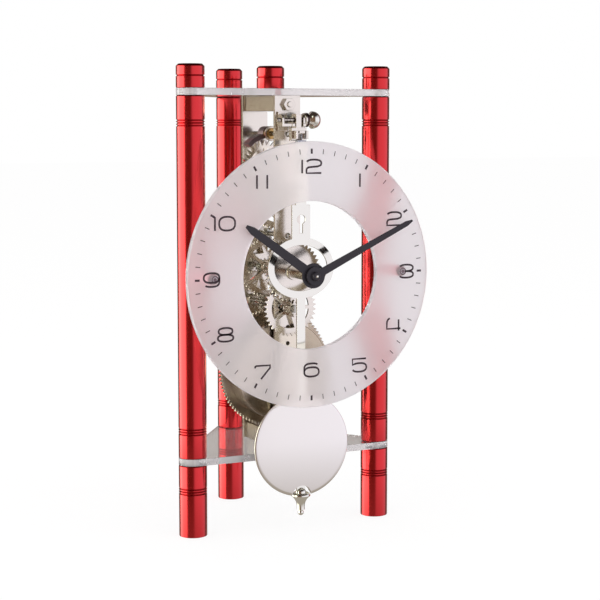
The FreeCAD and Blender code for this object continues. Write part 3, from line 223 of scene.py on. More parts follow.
join(tree,
     (path.outputs["Is Camera Ray"], lit.inputs[0]),
     (lit.outputs[0], seen.inputs[0]),
     (path.outputs["Is Transmission Ray"], seen.inputs[1]),
     (seen.outputs[0], through.inputs[0]),
     (path.outputs["Transmission Depth"], through.inputs[1]),
     (through.outputs[0], first.inputs[0]),
     (matt.outputs[0], first.inputs[1]),
     (glow.outputs[0], first.inputs[2]),
     (path.outputs["Is Glossy Ray"], second.inputs[0]),
     (first.outputs[0], second.inputs[1]),
     (open_air.outputs[0], second.inputs[2]),
     (second.outputs[0], out.inputs[0]))
floor_mesh.materials.append(paper)


# Columns, their feet, their caps and the fourth knob
# Round aluminium bars, turned, with fine grooves near their ends, anodised red.
# Threaded studs clamp the two acrylic plates between them.

bar_edge = 0.0005
cap_edge = 0.0010
groove_width = 0.0006
groove_depth = 0.0004
groove_pitch = 0.0011
groove_round = 0.00008
column_groove_margin = 0.0115
base_groove_drop = 0.0112
cap_groove_rise = 0.0051
knob_stem_radius = 0.0020
soft_share = 0.3
crown_share = 0.14
turn_segments = 96
level_face = 0.9
rim_share = 0.8

anodised_colour = (0.60, 0.008, 0.012, 1.0)
# The darker red for the groove bottoms is painted shade in the grooves, not a colour of the
# metal.
groove_shade_colour = (0.26, 0.007, 0.009, 1.0)
turning_lines = (0.0, 0.0, 1.0)


def piece_from(name, shape):
    """Make an object at the origin from a finished bmesh."""
    mesh = bpy.data.meshes.new(name)
    shape.to_mesh(mesh)
    shape.free()
    return placed(name, mesh)


def turned(profile, centre, segments=turn_segments, along="Z"):
    """Spin a list of (radius, height) points about an axis through centre."""
    shape = bmesh.new()
    rings = []
    for radius, height in profile:
        if radius == 0:
            rings.append([shape.verts.new((0, 0, height))])
            continue
        rings.append([shape.verts.new((radius * math.cos(2 * math.pi * step / segments),
                                       radius * math.sin(2 * math.pi * step / segments), height))
                      for step in range(segments)])
    for lower, upper in zip(rings, rings[1:]):
        for step in range(segments):
            after = (step + 1) % segments
            if len(lower) == 1:
                shape.faces.new((lower[0], upper[after], upper[step]))
            elif len(upper) == 1:
                shape.faces.new((lower[step], lower[after], upper[0]))
            else:
                shape.faces.new((lower[step], lower[after], upper[after], upper[step]))
    if along == "Y":
        for vert in shape.verts:
            x, y, z = vert.co
            vert.co = (x, -z, y)
    for vert in shape.verts:
        vert.co += Vector(centre)
    bmesh.ops.recalc_face_normals(shape, faces=shape.faces)
    return shape


def smooth(piece, degrees=35):
    """Shade a piece smooth, but keep its edges sharper than this angle."""
    piece.data.shade_smooth()
    piece.data.set_sharp_from_angle(angle=math.radians(degrees))
    return piece


def finish(name, colour, metallic, roughness, **sockets):
    """Start a material: its shader with the fixed values on its own sockets."""
    material = bpy.data.materials.new(name)
    material.use_nodes = True
    shader = material.node_tree.nodes["Principled BSDF"]
    shader.inputs["Base Color"].default_value = colour
    shader.inputs["Metallic"].default_value = metallic
    shader.inputs["Roughness"].default_value = roughness
    for socket, value in sockets.items():
        shader.inputs[socket.replace("_", " ")].default_value = value
    return material


def grain(material, roughness, scale, bump, distance=0.00002, detail=3.0,
          stretch=(1.0, 1.0, 1.0)):
    """Vary the roughness between two values and add a fine bump, from stretched noise."""
    tree = material.node_tree
    shader = tree.nodes["Principled BSDF"]
    place = node(tree, "ShaderNodeTexCoord", (-1100, 0))
    mapping = node(tree, "ShaderNodeMapping", (-900, 0))
    mapping.inputs["Scale"].default_value = stretch
    noise = node(tree, "ShaderNodeTexNoise", (-700, 0))
    noise.inputs["Scale"].default_value = scale
    noise.inputs["Detail"].default_value = detail
    spread = node(tree, "ShaderNodeMapRange", (-450, 0))
    spread.inputs["To Min"].default_value = roughness[0]
    spread.inputs["To Max"].default_value = roughness[1]
    relief = node(tree, "ShaderNodeBump", (-250, -200))
    relief.inputs["Strength"].default_value = bump
    relief.inputs["Distance"].default_value = distance
    join(tree,
         (place.outputs["Object"], mapping.inputs["Vector"]),
         (mapping.outputs["Vector"], noise.inputs["Vector"]),
         (noise.outputs["Fac"], spread.inputs["Value"]),
         (spread.outputs["Result"], shader.inputs["Roughness"]),
         (noise.outputs["Fac"], relief.inputs["Height"]),
         (relief.outputs["Normal"], shader.inputs["Normal"]))
    return material


def bar_profile(height, grooves, top_edge=bar_edge):
    """Radius and height points of a bar with rounded ends and fine grooves."""
    soft = bar_edge * soft_share
    crown = top_edge * crown_share
    profile = [(0, 0), (bar_radius - bar_edge, 0), (bar_radius - soft * 0.5, soft),
               (bar_radius, bar_edge)]
    for middle in sorted(grooves):
        low = middle - groove_width / 2
        high = middle + groove_width / 2
        floor_radius = bar_radius - groove_depth
        profile += [(bar_radius, low - groove_round), (bar_radius - groove_round, low),
                    (floor_radius + groove_round, low + groove_round / 2),
                    (floor_radius, low + groove_round), (floor_radius, high - groove_round),
                    (floor_radius + groove_round, high - groove_round / 2),
                    (bar_radius - groove_round, high), (bar_radius, high + groove_round)]
    profile += [(bar_radius, height - top_edge - crown),
                (bar_radius - crown / 2, height - top_edge + crown / 2),
                (bar_radius - top_edge + crown / 2, height - crown / 2),
                (bar_radius - top_edge - crown, height), (0, height)]
    return profile


def groove_set(middle):
    """Heights of three grooves about their middle."""
    return [middle - groove_pitch, middle, middle + groove_pitch]


low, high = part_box("column_left")
bar_radius = (high.x - low.x) / 2
red = finish("anodised_red", anodised_colour, 1.0, 0.21, Coat_Weight=0.9, Coat_Roughness=0.2,
             Coat_IOR=1.45)
grain(red, (0.19, 0.23), 4000.0, 0.08, 0.00001, detail=2.0, stretch=turning_lines)
shaded_groove_red = finish("shaded_groove_red", groove_shade_colour, 1.0, 0.36)
grain(shaded_groove_red, (0.34, 0.46), 4000.0, 0.08, 0.00001, detail=2.0, stretch=turning_lines)


def fit(piece, material, slot, body, node_name):
    """Give a piece its finish, hide the CAD node it stands for, and hang it on its body."""
    piece.data.materials.append(material)
    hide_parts(node_name)
    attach(piece, body)
    return piece


def grooved(bar, centre, node_name):
    """Finish a bar in red, with a darker red painted as shade at the bottoms of its grooves."""
    fit(smooth(bar), red, "anodised_red", "stand", node_name)
    bar.data.materials.append(shaded_groove_red)
    for face in bar.data.polygons:
        out = math.hypot(face.center.x - centre[0], face.center.y - centre[1])
        sunk = bar_radius * rim_share < out < bar_radius - groove_depth / 3
        if sunk and abs(face.normal.z) < level_face:
            face.material_index = 1


for side in ("left", "right", "rear"):
    for part in ("column_base_", "column_", "column_cap_"):
        low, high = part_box(part + side)
        height = high.z - low.z
        grooves = {"column_base_": groove_set(height - base_groove_drop),
                   "column_": (groove_set(column_groove_margin)
                               + groove_set(height - column_groove_margin)),
                   "column_cap_": [cap_groove_rise]}[part]
        centre = ((low.x + high.x) / 2, (low.y + high.y) / 2, low.z)
        top_edge = cap_edge if part == "column_cap_" else bar_edge
        bar = piece_from(part + side + "_turned",
                         turned(bar_profile(height, grooves, top_edge), centre))
        grooved(bar, centre, part + side)
low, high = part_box("movement_knob")
plate_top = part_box("top_plate")[1].z
centre = ((low.x + high.x) / 2, (low.y + high.y) / 2, plate_top)
stem_profile = [(0, low.z - plate_top), (knob_stem_radius, low.z - plate_top)]
knob_profile = bar_profile(high.z - plate_top, [cap_groove_rise], cap_edge)
knob = piece_from("movement_knob_turned",
                  turned(stem_profile + [(knob_stem_radius, 0)] + knob_profile[1:], centre))
grooved(knob, centre, "movement_knob")


# Acrylic plates
# Clear cast acrylic, 3 mm thick, with sawn edges that show a fine texture.
# The columns clamp them at their corners and the movement stands between them.

plate_edge = 0.0002
weld = 0.000002
flat_degrees = 0.6
edge_degrees = 30
edge_segments = 2
edge_normal = 0.5
flat_face_weight = 100


def dressed(node_name, how, edge):
    """Copy a CAD node, merged, and soften its edges; its name says how it is made."""
    shape = bmesh.new()
    shape.from_mesh(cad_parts[node_name].data)
    bmesh.ops.remove_doubles(shape, verts=shape.verts, dist=weld)
    bmesh.ops.dissolve_limit(shape, angle_limit=math.radians(flat_degrees), verts=shape.verts,
                             edges=shape.edges)
    piece = piece_from(node_name + "_" + how, shape)
    if not edge:
        return smooth(piece, edge_degrees)
    piece.data.shade_smooth()
    bevel = piece.modifiers.new("edges", "BEVEL")
    bevel.width = edge
    bevel.segments = edge_segments
    bevel.limit_method = "ANGLE"
    bevel.angle_limit = math.radians(edge_degrees)
    bevel.use_clamp_overlap = True
    even = piece.modifiers.new("flat_faces", "WEIGHTED_NORMAL")
    even.weight = flat_face_weight
    even.keep_sharp = True
    return piece


acrylic = finish("clear_acrylic", (0.93, 0.94, 0.93, 1.0), 0.0, 0.02, Transmission_Weight=0.9,
                 IOR=1.49)
grain(acrylic, (0.01, 0.05), 90.0, 0.02, 0.0002)
sawn = finish("acrylic_edge", (0.93, 0.90, 0.91, 1.0), 0.0, 0.2, Transmission_Weight=0.72,
              IOR=1.49)
grain(sawn, (0.06, 0.40), 420.0, 0.30, 0.0003, detail=4.0, stretch=(1.0, 1.0, 0.25))
for plate in ("top_plate", "lower_plate"):
    sheet = fit(dressed(plate, "polished", plate_edge), acrylic, "clear_acrylic", "stand", plate)
    sheet.data.materials.append(sawn)
    for face in sheet.data.polygons:
        face.material_index = 1 if abs(face.normal.z) < edge_normal else 0
    sheet.visible_shadow = False


# Dial
# A frosted acrylic ring, 3 mm thick, with a large window over the movement.
# Two flush screws hold it to standoffs in the front columns.

dial_edge = 0.00035
dial_segments = 192
window_radius = 0.0312

low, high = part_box("dial")
dial_radius = (high.x - low.x) / 2
dial_front = low.y
dial_back = high.y
dial_centre = ((low.x + high.x) / 2, 0.0, (low.z + high.z) / 2)


def closed_ring(profile, centre, segments):
    """Spin a profile that ends where it starts about Y, and merge its seam."""
    shape = turned(profile, centre, segments, "Y")
    bmesh.ops.remove_doubles(shape, verts=shape.verts, dist=weld)
    bmesh.ops.recalc_face_normals(shape, faces=shape.faces)
    return shape


front, back = -dial_front, -dial_back
soft = dial_edge * soft_share
ring = closed_ring(
    [(window_radius + dial_edge, back), (dial_radius - dial_edge, back),
     (dial_radius - soft, back + soft), (dial_radius, back + dial_edge),
     (dial_radius, front - dial_edge), (dial_radius - soft, front - soft),
     (dial_radius - dial_edge, front), (window_radius + dial_edge, front),
     (window_radius + soft, front - soft), (window_radius, front - dial_edge),
     (window_radius, back + dial_edge), (window_radius + soft, back + soft),
     (window_radius + dial_edge, back)], dial_centre, dial_segments)
dial = smooth(piece_from("dial_frosted", ring))
frosted = finish("frosted_acrylic", (0.96, 0.925, 0.945, 1.0), 0.0, 0.4,
                 Transmission_Weight=0.82, IOR=1.45)
grain(frosted, (0.36, 0.44), 2500.0, 0.04, 0.00003, detail=2.0)
fit(dial, frosted, "frosted_acrylic", "stand", "dial")
dial.visible_shadow = False


# Hour figures and minute marks
# Dark ink printed on the dial's front, in thin even strokes with open, squarish bowls.
# Geometry Nodes sweep the strokes and set the marks in a circle.

figure_half_width = 0.00345
figure_half_height = 0.0028
figure_ring = 0.0456
six_ring = 0.0400
stroke_width = 0.0008
ink_depth = 0.00004
mark_ring = 0.0519
mark_length = 0.0021
hour_mark_width = 0.0009
minute_mark_width = 0.00034
ten_shift = (-1.30, 0.27)
eleven_shift = (-0.675, 0.675)
twelve_shift = (-1.29, 0.29)
bowl_squareness = 2.5
stroke_gap = 0.001
hour_mark_every = 5
skip_none = 100
not_skipped = 0.5
ink_colour = (0.030, 0.016, 0.022, 1.0)


def bowl(middle_x, middle_z, half_x, half_z, start, end, steps=14):
    """Points along a squarish oval, from one angle to another in degrees."""
    points = []
    for step in range(steps + 1):
        turn = math.radians(start + (end - start) * step / steps)
        across = math.copysign(abs(math.cos(turn)) ** (2 / bowl_squareness), math.cos(turn))
        up = math.copysign(abs(math.sin(turn)) ** (2 / bowl_squareness), math.sin(turn))
        points.append((middle_x + half_x * across, middle_z + half_z * up))
    return points


# Each stroke is a chain of points, in half widths and half heights of a figure.
six_strokes = [bowl(0, 0.3, 1, 0.7, 42, 180)
               + bowl(0, -0.3, 1, 0.7, 180, 540, 28)]
figure_strokes = {
    "0": [bowl(0, 0, 1.03, 1, 90, 450, 32)],
    "1": [[(0, 1), (0, -1)]],
    "2": [bowl(0, 0.45, 1, 0.55, 160, -28)
          + [(0.5, -0.02), (-0.45, -0.1)] + bowl(-0.4, -0.6, 0.6, 0.5, 110, 180, 6)
          + [(-1, -1), (1, -1)]],
    "3": [bowl(0, 0.5, 0.97, 0.5, 155, -90) + [(-0.2, 0)],
          bowl(0, -0.5, 1, 0.5, 90, -155)],
    "4": [[(-0.54, 1), (-0.8, 0.78), (-0.92, 0.5), (-0.95, 0.2), (-0.95, -0.65), (1, -0.65)],
          [(0.73, 0.75), (0.73, -1)]],
    "5": [[(0.95, 1), (-0.95, 1), (-0.95, 0.1)] + bowl(0, -0.33, 1, 0.66, 125, -155, 20)],
    "6": six_strokes,
    "7": [[(-1, 0.68), (-0.97, 0.9), (-0.85, 1), (1, 1), (1, 0.62), (-0.2, -1)]],
    "8": [bowl(0, 0.5, 0.9, 0.5, -90, 270, 28), bowl(0, -0.5, 1, 0.5, 90, 450, 28)],
    "9": [[(-x, -z) for x, z in six_strokes[0]]],
}
hour_labels = {hour: [(str(hour), 0.0)] for hour in range(1, 10)}
hour_labels[10] = [("1", ten_shift[0]), ("0", ten_shift[1])]
hour_labels[11] = [("1", eleven_shift[0]), ("1", eleven_shift[1])]
hour_labels[12] = [("1", twelve_shift[0]), ("2", twelve_shift[1])]


def baked(piece):
    """Turn a piece's evaluated geometry into its own plain mesh."""
    bpy.context.view_layer.update()
    evaluated = piece.evaluated_get(bpy.context.evaluated_depsgraph_get())
    mesh = bpy.data.meshes.new_from_object(evaluated)
    piece.modifiers.clear()
    piece.data = mesh
    return piece


def grown(piece, tree, values):
    """Run a Geometry Nodes tree on a piece with its named sizes, then keep its mesh."""
    modifier = piece.modifiers.new(tree.name, "NODES")
    modifier.node_group = tree
    for item in tree.interface.items_tree:
        if item.item_type == "SOCKET" and item.in_out == "INPUT" and item.name in values:
            modifier[item.identifier] = values[item.name]
    return baked(piece)


def new_tree(name, **sizes):
    """A geometry tree with named size inputs; returns it with its ends."""
    tree = bpy.data.node_groups.new(name, "GeometryNodeTree")
    tree.interface.new_socket("Geometry", in_out="INPUT", socket_type="NodeSocketGeometry")
    for size, kind in sizes.items():
        tree.interface.new_socket(size, in_out="INPUT", socket_type="NodeSocket" + kind)
    tree.interface.new_socket("Geometry", in_out="OUTPUT", socket_type="NodeSocketGeometry")
    start = node(tree, "NodeGroupInput", (-1200, 0))
    end = node(tree, "NodeGroupOutput", (1200, 0))
    return tree, start, end


def painted(tree, shape, start, end):
    """End a tree: make its instances real and give them the material from its input."""
    real = node(tree, "GeometryNodeRealizeInstances", (700, 0))
    paint = node(tree, "GeometryNodeSetMaterial", (900, 0))
    join(tree,
         (shape, real.inputs[0]),
         (real.outputs[0], paint.inputs[0]),
         (start.outputs["Material"], paint.inputs["Material"]),
         (paint.outputs[0], end.inputs[0]))


ink = finish("printed_ink", ink_colour, 0.0, 0.5)
grain(ink, (0.42, 0.6), 3000.0, 0.1, 0.00001, detail=2.0)

stroke_tree, start, end = new_tree("figure_stroke", Width="Float", Depth="Float",
                                   Material="Material")
line = node(stroke_tree, "GeometryNodeMeshToCurve", (-900, 200))
upright = node(stroke_tree, "GeometryNodeSetCurveNormal", (-700, 200), mode="FREE")
upright.inputs["Normal"].default_value = (0.0, 1.0, 0.0)
section = node(stroke_tree, "GeometryNodeCurvePrimitiveQuadrilateral", (-900, -200))
sweep = node(stroke_tree, "GeometryNodeCurveToMesh", (-500, 0))
sweep.inputs["Fill Caps"].default_value = True
join(stroke_tree,
     (start.outputs["Geometry"], line.inputs[0]),
     (start.outputs["Width"], section.inputs["Height"]),
     (start.outputs["Depth"], section.inputs["Width"]),
     (line.outputs[0], upright.inputs["Curve"]),
     (upright.outputs[0], sweep.inputs["Curve"]),
     (section.outputs[0], sweep.inputs["Profile Curve"]))
painted(stroke_tree, sweep.outputs[0], start, end)

points = []
edges = []
for hour, label in hour_labels.items():
    turn = math.radians(hour * 30)
    reach = six_ring if hour == 6 else figure_ring
    middle_x = reach * math.sin(turn)
    middle_z = reach * math.cos(turn)
    for digit, shift in label:
        for stroke in figure_strokes[digit]:
            closed = math.dist(stroke[0], stroke[-1]) < stroke_gap and len(stroke) > 2
            chain = stroke[:-1] if closed else stroke
            first_point = len(points)
            for x, z in chain:
                points.append((dial_centre[0] + middle_x + (x + shift) * figure_half_width,
                               dial_front - ink_depth / 2,
                               dial_centre[2] + middle_z + z * figure_half_height))
            edges += [(first_point + step, first_point + step + 1)
                      for step in range(len(chain) - 1)]
            if closed:
                edges.append((len(points) - 1, first_point))
figure_mesh = bpy.data.meshes.new("hour_figures")
figure_mesh.from_pydata(points, edges, [])
figures = placed("hour_figures", figure_mesh)
grown(figures, stroke_tree, {"Width": stroke_width, "Depth": ink_depth, "Material": ink})
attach(figures, "stand")

mark_tree, start, end = new_tree(
    "dial_marks", Count="Int", Ring="Float", Width="Float", Length="Float", Depth="Float",
    Centre="Vector", First="Int", Skip="Int", Material="Material")
ring_points = node(mark_tree, "GeometryNodePoints", (-900, 200))
index = node(mark_tree, "GeometryNodeInputIndex", (-1100, -200))
step_turn = node(mark_tree, "ShaderNodeMath", (-900, -100), operation="DIVIDE")
step_turn.inputs[0].default_value = 2 * math.pi
turn_by = node(mark_tree, "ShaderNodeMath", (-700, -100), operation="MULTIPLY")
turn_vector = node(mark_tree, "ShaderNodeCombineXYZ", (-500, -200))
out_vector = node(mark_tree, "ShaderNodeCombineXYZ", (-700, 0))
swing_out = node(mark_tree, "ShaderNodeVectorRotate", (-300, 0), rotation_type="Y_AXIS")
from_centre = node(mark_tree, "ShaderNodeVectorMath", (-100, 0), operation="ADD")
place_points = node(mark_tree, "GeometryNodeSetPosition", (100, 200))
counted = node(mark_tree, "ShaderNodeMath", (-900, -400), operation="ADD")
remainder = node(mark_tree, "ShaderNodeMath", (-700, -400), operation="MODULO")
chosen = node(mark_tree, "ShaderNodeMath", (-500, -400), operation="GREATER_THAN")
chosen.inputs[1].default_value = not_skipped
bar_size = node(mark_tree, "ShaderNodeCombineXYZ", (-300, -300))
bar = node(mark_tree, "GeometryNodeMeshCube", (-100, -300))
spread = node(mark_tree, "GeometryNodeInstanceOnPoints", (400, 100))
join(mark_tree,
     (start.outputs["Count"], ring_points.inputs["Count"]),
     (start.outputs["Count"], step_turn.inputs[1]),
     (index.outputs[0], turn_by.inputs[0]),
     (step_turn.outputs[0], turn_by.inputs[1]),
     (turn_by.outputs[0], turn_vector.inputs["Y"]),
     (start.outputs["Ring"], out_vector.inputs["Z"]),
     (out_vector.outputs[0], swing_out.inputs["Vector"]),
     (turn_by.outputs[0], swing_out.inputs["Angle"]),
     (swing_out.outputs[0], from_centre.inputs[0]),
     (start.outputs["Centre"], from_centre.inputs[1]),
     (ring_points.outputs[0], place_points.inputs["Geometry"]),
     (from_centre.outputs[0], place_points.inputs["Position"]),
     (index.outputs[0], counted.inputs[0]),
     (start.outputs["First"], counted.inputs[1]),
     (counted.outputs[0], remainder.inputs[0]),
     (start.outputs["Skip"], remainder.inputs[1]),
     (remainder.outputs[0], chosen.inputs[0]),
     (start.outputs["Width"], bar_size.inputs["X"]),
     (start.outputs["Depth"], bar_size.inputs["Y"]),
     (start.outputs["Length"], bar_size.inputs["Z"]),
     (bar_size.outputs[0], bar.inputs["Size"]),
     (place_points.outputs[0], spread.inputs["Points"]),
     (chosen.outputs[0], spread.inputs["Selection"]),
     (bar.outputs["Mesh"], spread.inputs["Instance"]),
     (turn_vector.outputs[0], spread.inputs["Rotation"]))
painted(mark_tree, spread.outputs[0], start, end)
for name, count, width, first, skip in (
        ("minute_marks", 60, minute_mark_width, 0, hour_mark_every),
        ("hour_marks", 12, hour_mark_width, 1, skip_none)):
    marks = placed(name, bpy.data.meshes.new(name))
    grown(marks, mark_tree, {
        "Count": count, "Ring": mark_ring, "Width": width, "Length": mark_length,
        "Depth": ink_depth, "First": first, "Skip": skip, "Material": ink,
        "Centre": (dial_centre[0], dial_front - ink_depth / 2, dial_centre[2])})
    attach(marks, "stand")


# Dial standoffs and dial screws
# Red aluminium posts reach from the front columns to the back of the dial. They are painted a
# pale pink as painted glow, so behind the frosted dial they show as a pink haze.
# A grey steel screw goes through the dial into each, flush over the figures 3 and 9.

standoff_edge = 0.0001
screw_head = 0.0017
screw_shank = 0.0010
screw_proud = 0.00001
countersink = 0.0008
head_lip = 0.0001
head_chamfer = 0.00015
ring_outside = 0.0011
ring_width = 0.0004
ring_slope = 0.0001
ring_depth = 0.00015
screw_segments = 48


def metal(name, colour, roughness, spread, scale=900.0, bump=0.05):
    """A metal finish in one colour, with a fine grain over its roughness."""
    return grain(finish(name, (*colour, 1.0), 1.0, roughness), spread, scale, bump)


# Dark steel for the washer and the click; the same finish is painted shade on the beat screw's
# thread.
dark_steel_and_thread_shade = metal("blackened_steel", (0.055, 0.030, 0.030), 0.3, (0.22, 0.42), 1800.0, 0.08)
bright_nickel = metal("nickel_plate", (0.72, 0.68, 0.60), 0.17, (0.12, 0.22))
satin_grey = metal("satin_steel", (0.20, 0.15, 0.16), 0.38, (0.30, 0.46), 1800.0, 0.08)
low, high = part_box("dial_screws")
half_screw = (high.z - low.z) / 2
flush = -dial_front + screw_proud
for side, middle in (("left", low.x + half_screw), ("right", high.x - half_screw)):
    screw = smooth(piece_from("dial_screw_" + side, turned(
        [(0, -dial_back), (screw_shank, -dial_back), (screw_shank, flush - countersink),
         (screw_head, flush - head_lip), (screw_head - head_chamfer, flush),
         (ring_outside, flush), (ring_outside - ring_slope, flush - ring_depth),
         (ring_outside - ring_width + ring_slope, flush - ring_depth),
         (ring_outside - ring_width, flush), (0, flush)],
        (middle, 0.0, dial_centre[2]), screw_segments, "Y")))
    fit(screw, satin_grey, "blackened_steel", "stand", "dial_screws")
# A pale, part-metal pink lighter than the red columns: painted glow for the haze the posts make
# through the dial.
pale_glow_red = finish("pale_glow_red", (0.88, 0.33, 0.36, 1.0), 0.35, 0.5)
grain(pale_glow_red, (0.42, 0.58), 2400.0, 0.1)
fit(dressed("dial_standoffs", "turned", standoff_edge), pale_glow_red, "anodised_red", "stand",
    "dial_standoffs")


# Movement frame
# Two flat steel strips stand between the plates, joined by rectangular crossbars with nuts.
# The strips, nuts and bracket are nickel plated and bright, and the crossbars are warmer.

warm_nickel = metal("warm_nickel", (0.48, 0.42, 0.34), 0.24, (0.18, 0.30), bump=0.06)
steel = metal("arbor_steel", (0.50, 0.49, 0.44), 0.2, (0.14, 0.28))
spring_grey = metal("spring_steel", (0.34, 0.36, 0.40), 0.25, (0.18, 0.34))
bright_plate = (bright_nickel, "nickel_plate")
warm_plate = (warm_nickel, "nickel_plate")
bare_steel = (steel, "arbor_steel")
spring_steel = (spring_grey, "spring_steel")
for node_name, how, edge, look in (
        ("front_strip", "plated", 0.00015, bright_plate),
        ("rear_strip", "plated", 0.00015, bright_plate),
        ("top_crossbar", "plated", 0.0003, warm_plate),
        ("bottom_crossbar", "plated", 0.0003, warm_plate),
        ("frame_nuts", "plated", 0.00025, bright_plate),
        ("suspension_bracket", "plated", 0.00015, bright_plate),
        ("column_studs", "cut", 0.0001, bare_steel),
        ("foot_screw", "turned", 0.00015, bare_steel),
        ("bracket_screw", "turned", 0.0001, bare_steel),
        ("minute_stud", "turned", 0.0001, bare_steel),
        ("click_screw", "turned", 0.0001, bare_steel),
        ("click_spring", "bent", 0.00004, spring_steel)):
    fit(dressed(node_name, how, edge), *look, "stand", node_name)


# Going train
# Nickel-plated wheels on steel arbors, from the barrel up to the escape wheel.
# The wheels are stamped and crossed out, with cut teeth.

barrel_edge = 0.0002
great_edge = 0.0001
square_edge = 0.00012
arbor_edge = 0.00008
train_edge = 0.00005

going_train = [
    ("barrel_drum", "turned", barrel_edge, "barrel_group", warm_plate),
    ("barrel_cover", "turned", great_edge, "barrel_group", warm_plate),
    ("great_wheel", "cut", arbor_edge, "barrel_group", warm_plate),
    ("mainspring", "coiled", 0, "barrel_group", spring_steel),
    ("barrel_arbor", "turned", square_edge, "winding_group", bare_steel),
    ("ratchet_wheel", "cut", arbor_edge, "winding_group", bare_steel),
    ("click", "cut", great_edge, "click_group", (dark_steel_and_thread_shade, "blackened_steel")),
    ("center_arbor", "turned", great_edge, "center_group", bare_steel),
    ("center_wheel", "cut", train_edge, "center_group", bright_plate),
    ("cannon_pinion", "cut", arbor_edge, "center_group", bare_steel),
    ("hour_wheel", "cut", arbor_edge, "hour_group", bright_plate),
    ("minute_wheel", "cut", train_edge, "minute_wheel_group", bright_plate)]
for stage in ("second", "third", "fourth", "escape"):
    going_train += [(stage + "_arbor", "turned", arbor_edge, stage + "_group", bare_steel),
                    (stage + "_wheel", "cut", train_edge, stage + "_group", bright_plate)]
for node_name, how, edge, body, look in going_train:
    fit(dressed(node_name, how, edge), *look, body, node_name)


# Anchor, crutch and suspension
# The grey steel anchor rocks on its arbor over the escape wheel, and its crutch drives the rod.
# The pendulum hangs on a thin spring from a yoke that the beat screw moves.

for node_name, how, edge, body, look in (
        ("anchor", "forged", 0.00012, "anchor_group", (satin_grey, "blackened_steel")),
        ("anchor_arbor", "turned", 0.00008, "anchor_group", bare_steel),
        ("crutch", "bent", 0.00012, "anchor_group", bare_steel),
        ("suspension_yoke", "cut", 0.00012, "yoke", bright_plate),
        ("suspension_spring", "clamped", 0.00003, "pendulum", spring_steel)):
    fit(dressed(node_name, how, edge), *look, body, node_name)


# Anchor collet
# A turned brass collet holds the anchor on its arbor, with a low boss round its bore.
# A bright nickel ring lies round its front.

collet_bore = 0.0010
collet_inset = 0.0004
collet_slope = 0.0003
collet_shoulder = 0.0006
boss_foot_share = 0.62
boss_top_share = 0.58
boss_height = 0.0003
bore_lip = 0.0002
collet_ring_depth = 0.0009
collet_ring_wall = 0.0010
collet_ring_lip = 0.0002
collet_segments = 64

brass = metal("brass", (0.60, 0.40, 0.16), 0.25, (0.18, 0.34))
low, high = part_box("anchor_collet")
front, back = -low.y, -high.y
collet_radius = (high.x - low.x) / 2
collet_centre = ((low.x + high.x) / 2, 0.0, (low.z + high.z) / 2)
collet = smooth(piece_from("anchor_collet_turned", turned(
    [(0, back), (collet_radius - collet_inset, back),
     (collet_radius - collet_slope, front - collet_shoulder),
     (collet_radius * boss_foot_share, front - boss_height),
     (collet_radius * boss_top_share, front), (collet_bore + bore_lip, front),
     (collet_bore, front - boss_height), (0, front - boss_height)],
    collet_centre, collet_segments, "Y")))
fit(collet, brass, "brass", "anchor_group", "anchor_collet")
ring_inside = collet_radius - collet_ring_wall
ring_middle = collet_radius - collet_ring_wall / 2
ring_back = front - collet_ring_depth
ring = smooth(piece_from("anchor_collet_ring", closed_ring(
    [(ring_middle, ring_back), (collet_radius - collet_ring_lip / 2, ring_back),
     (collet_radius, ring_back + collet_ring_lip), (collet_radius, front - collet_ring_lip),
     (collet_radius - collet_ring_lip, front), (ring_inside + collet_ring_lip, front),
     (ring_inside, front - boss_height), (ring_inside, ring_back), (ring_middle, ring_back)],
    collet_centre, collet_segments)))
fit(ring, bright_nickel, "brass", "anchor_group", "anchor_collet")


# Beat screw
# A turned and plated screw lies across the clock and tilts the yoke to set the beat.
# It has a plain collar, a dark washer and a polished, domed thumb knob at its right end.

screw_radius = 0.00086
screw_point_share = 0.8
screw_point_length = 0.0003
collar_radius = 0.0029
collar_chamfer = 0.0002
collar_from_end = 0.0076
washer_from_end = 0.0066
neck_from_end = 0.0058
disc_from_end = 0.0045
washer_overhang = 0.0001
neck_share = 0.75
neck_top_share = 0.8
neck_flare = 0.0004
disc_rounding = 0.0004
disc_lip = 0.0005
disc_thickness = 0.0009
dome_lift = 0.0011
dome_squareness = 0.7
dome_end = 80
arc_step = 10
knob_segments = 64
knob_crease = 50

mirror = metal("polished_nickel", (0.76, 0.76, 0.675), 0.1, (0.07, 0.14), 300.0, 0.02)
low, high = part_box("beat_screw")
knob_radius = (high.z - low.z) / 2
screw_length = high.x - low.x
screw_start = (low.x, (low.y + high.y) / 2, (low.z + high.z) / 2)
collar_start = screw_length - collar_from_end
washer_start = screw_length - washer_from_end
washer_end = screw_length - neck_from_end
disc_start = screw_length - disc_from_end
dome_start = disc_start + dome_lift


def along_x(profile, segments=screw_segments):
    """Spin a profile about the beat screw's axis, from its start towards the knob."""
    shape = turned(profile, (0, 0, 0), segments)
    for vert in shape.verts:
        x, y, z = vert.co
        vert.co = (z + screw_start[0], y + screw_start[1], -x + screw_start[2])
    bmesh.ops.recalc_face_normals(shape, faces=shape.faces)
    return shape


def arc(radius, rise, end, power=1.0):
    """Points up the side of a dome, from its foot to an angle in degrees."""
    return [(radius * math.cos(math.radians(turn)) ** power, rise * math.sin(math.radians(turn)))
            for turn in range(0, end + 1, arc_step)]


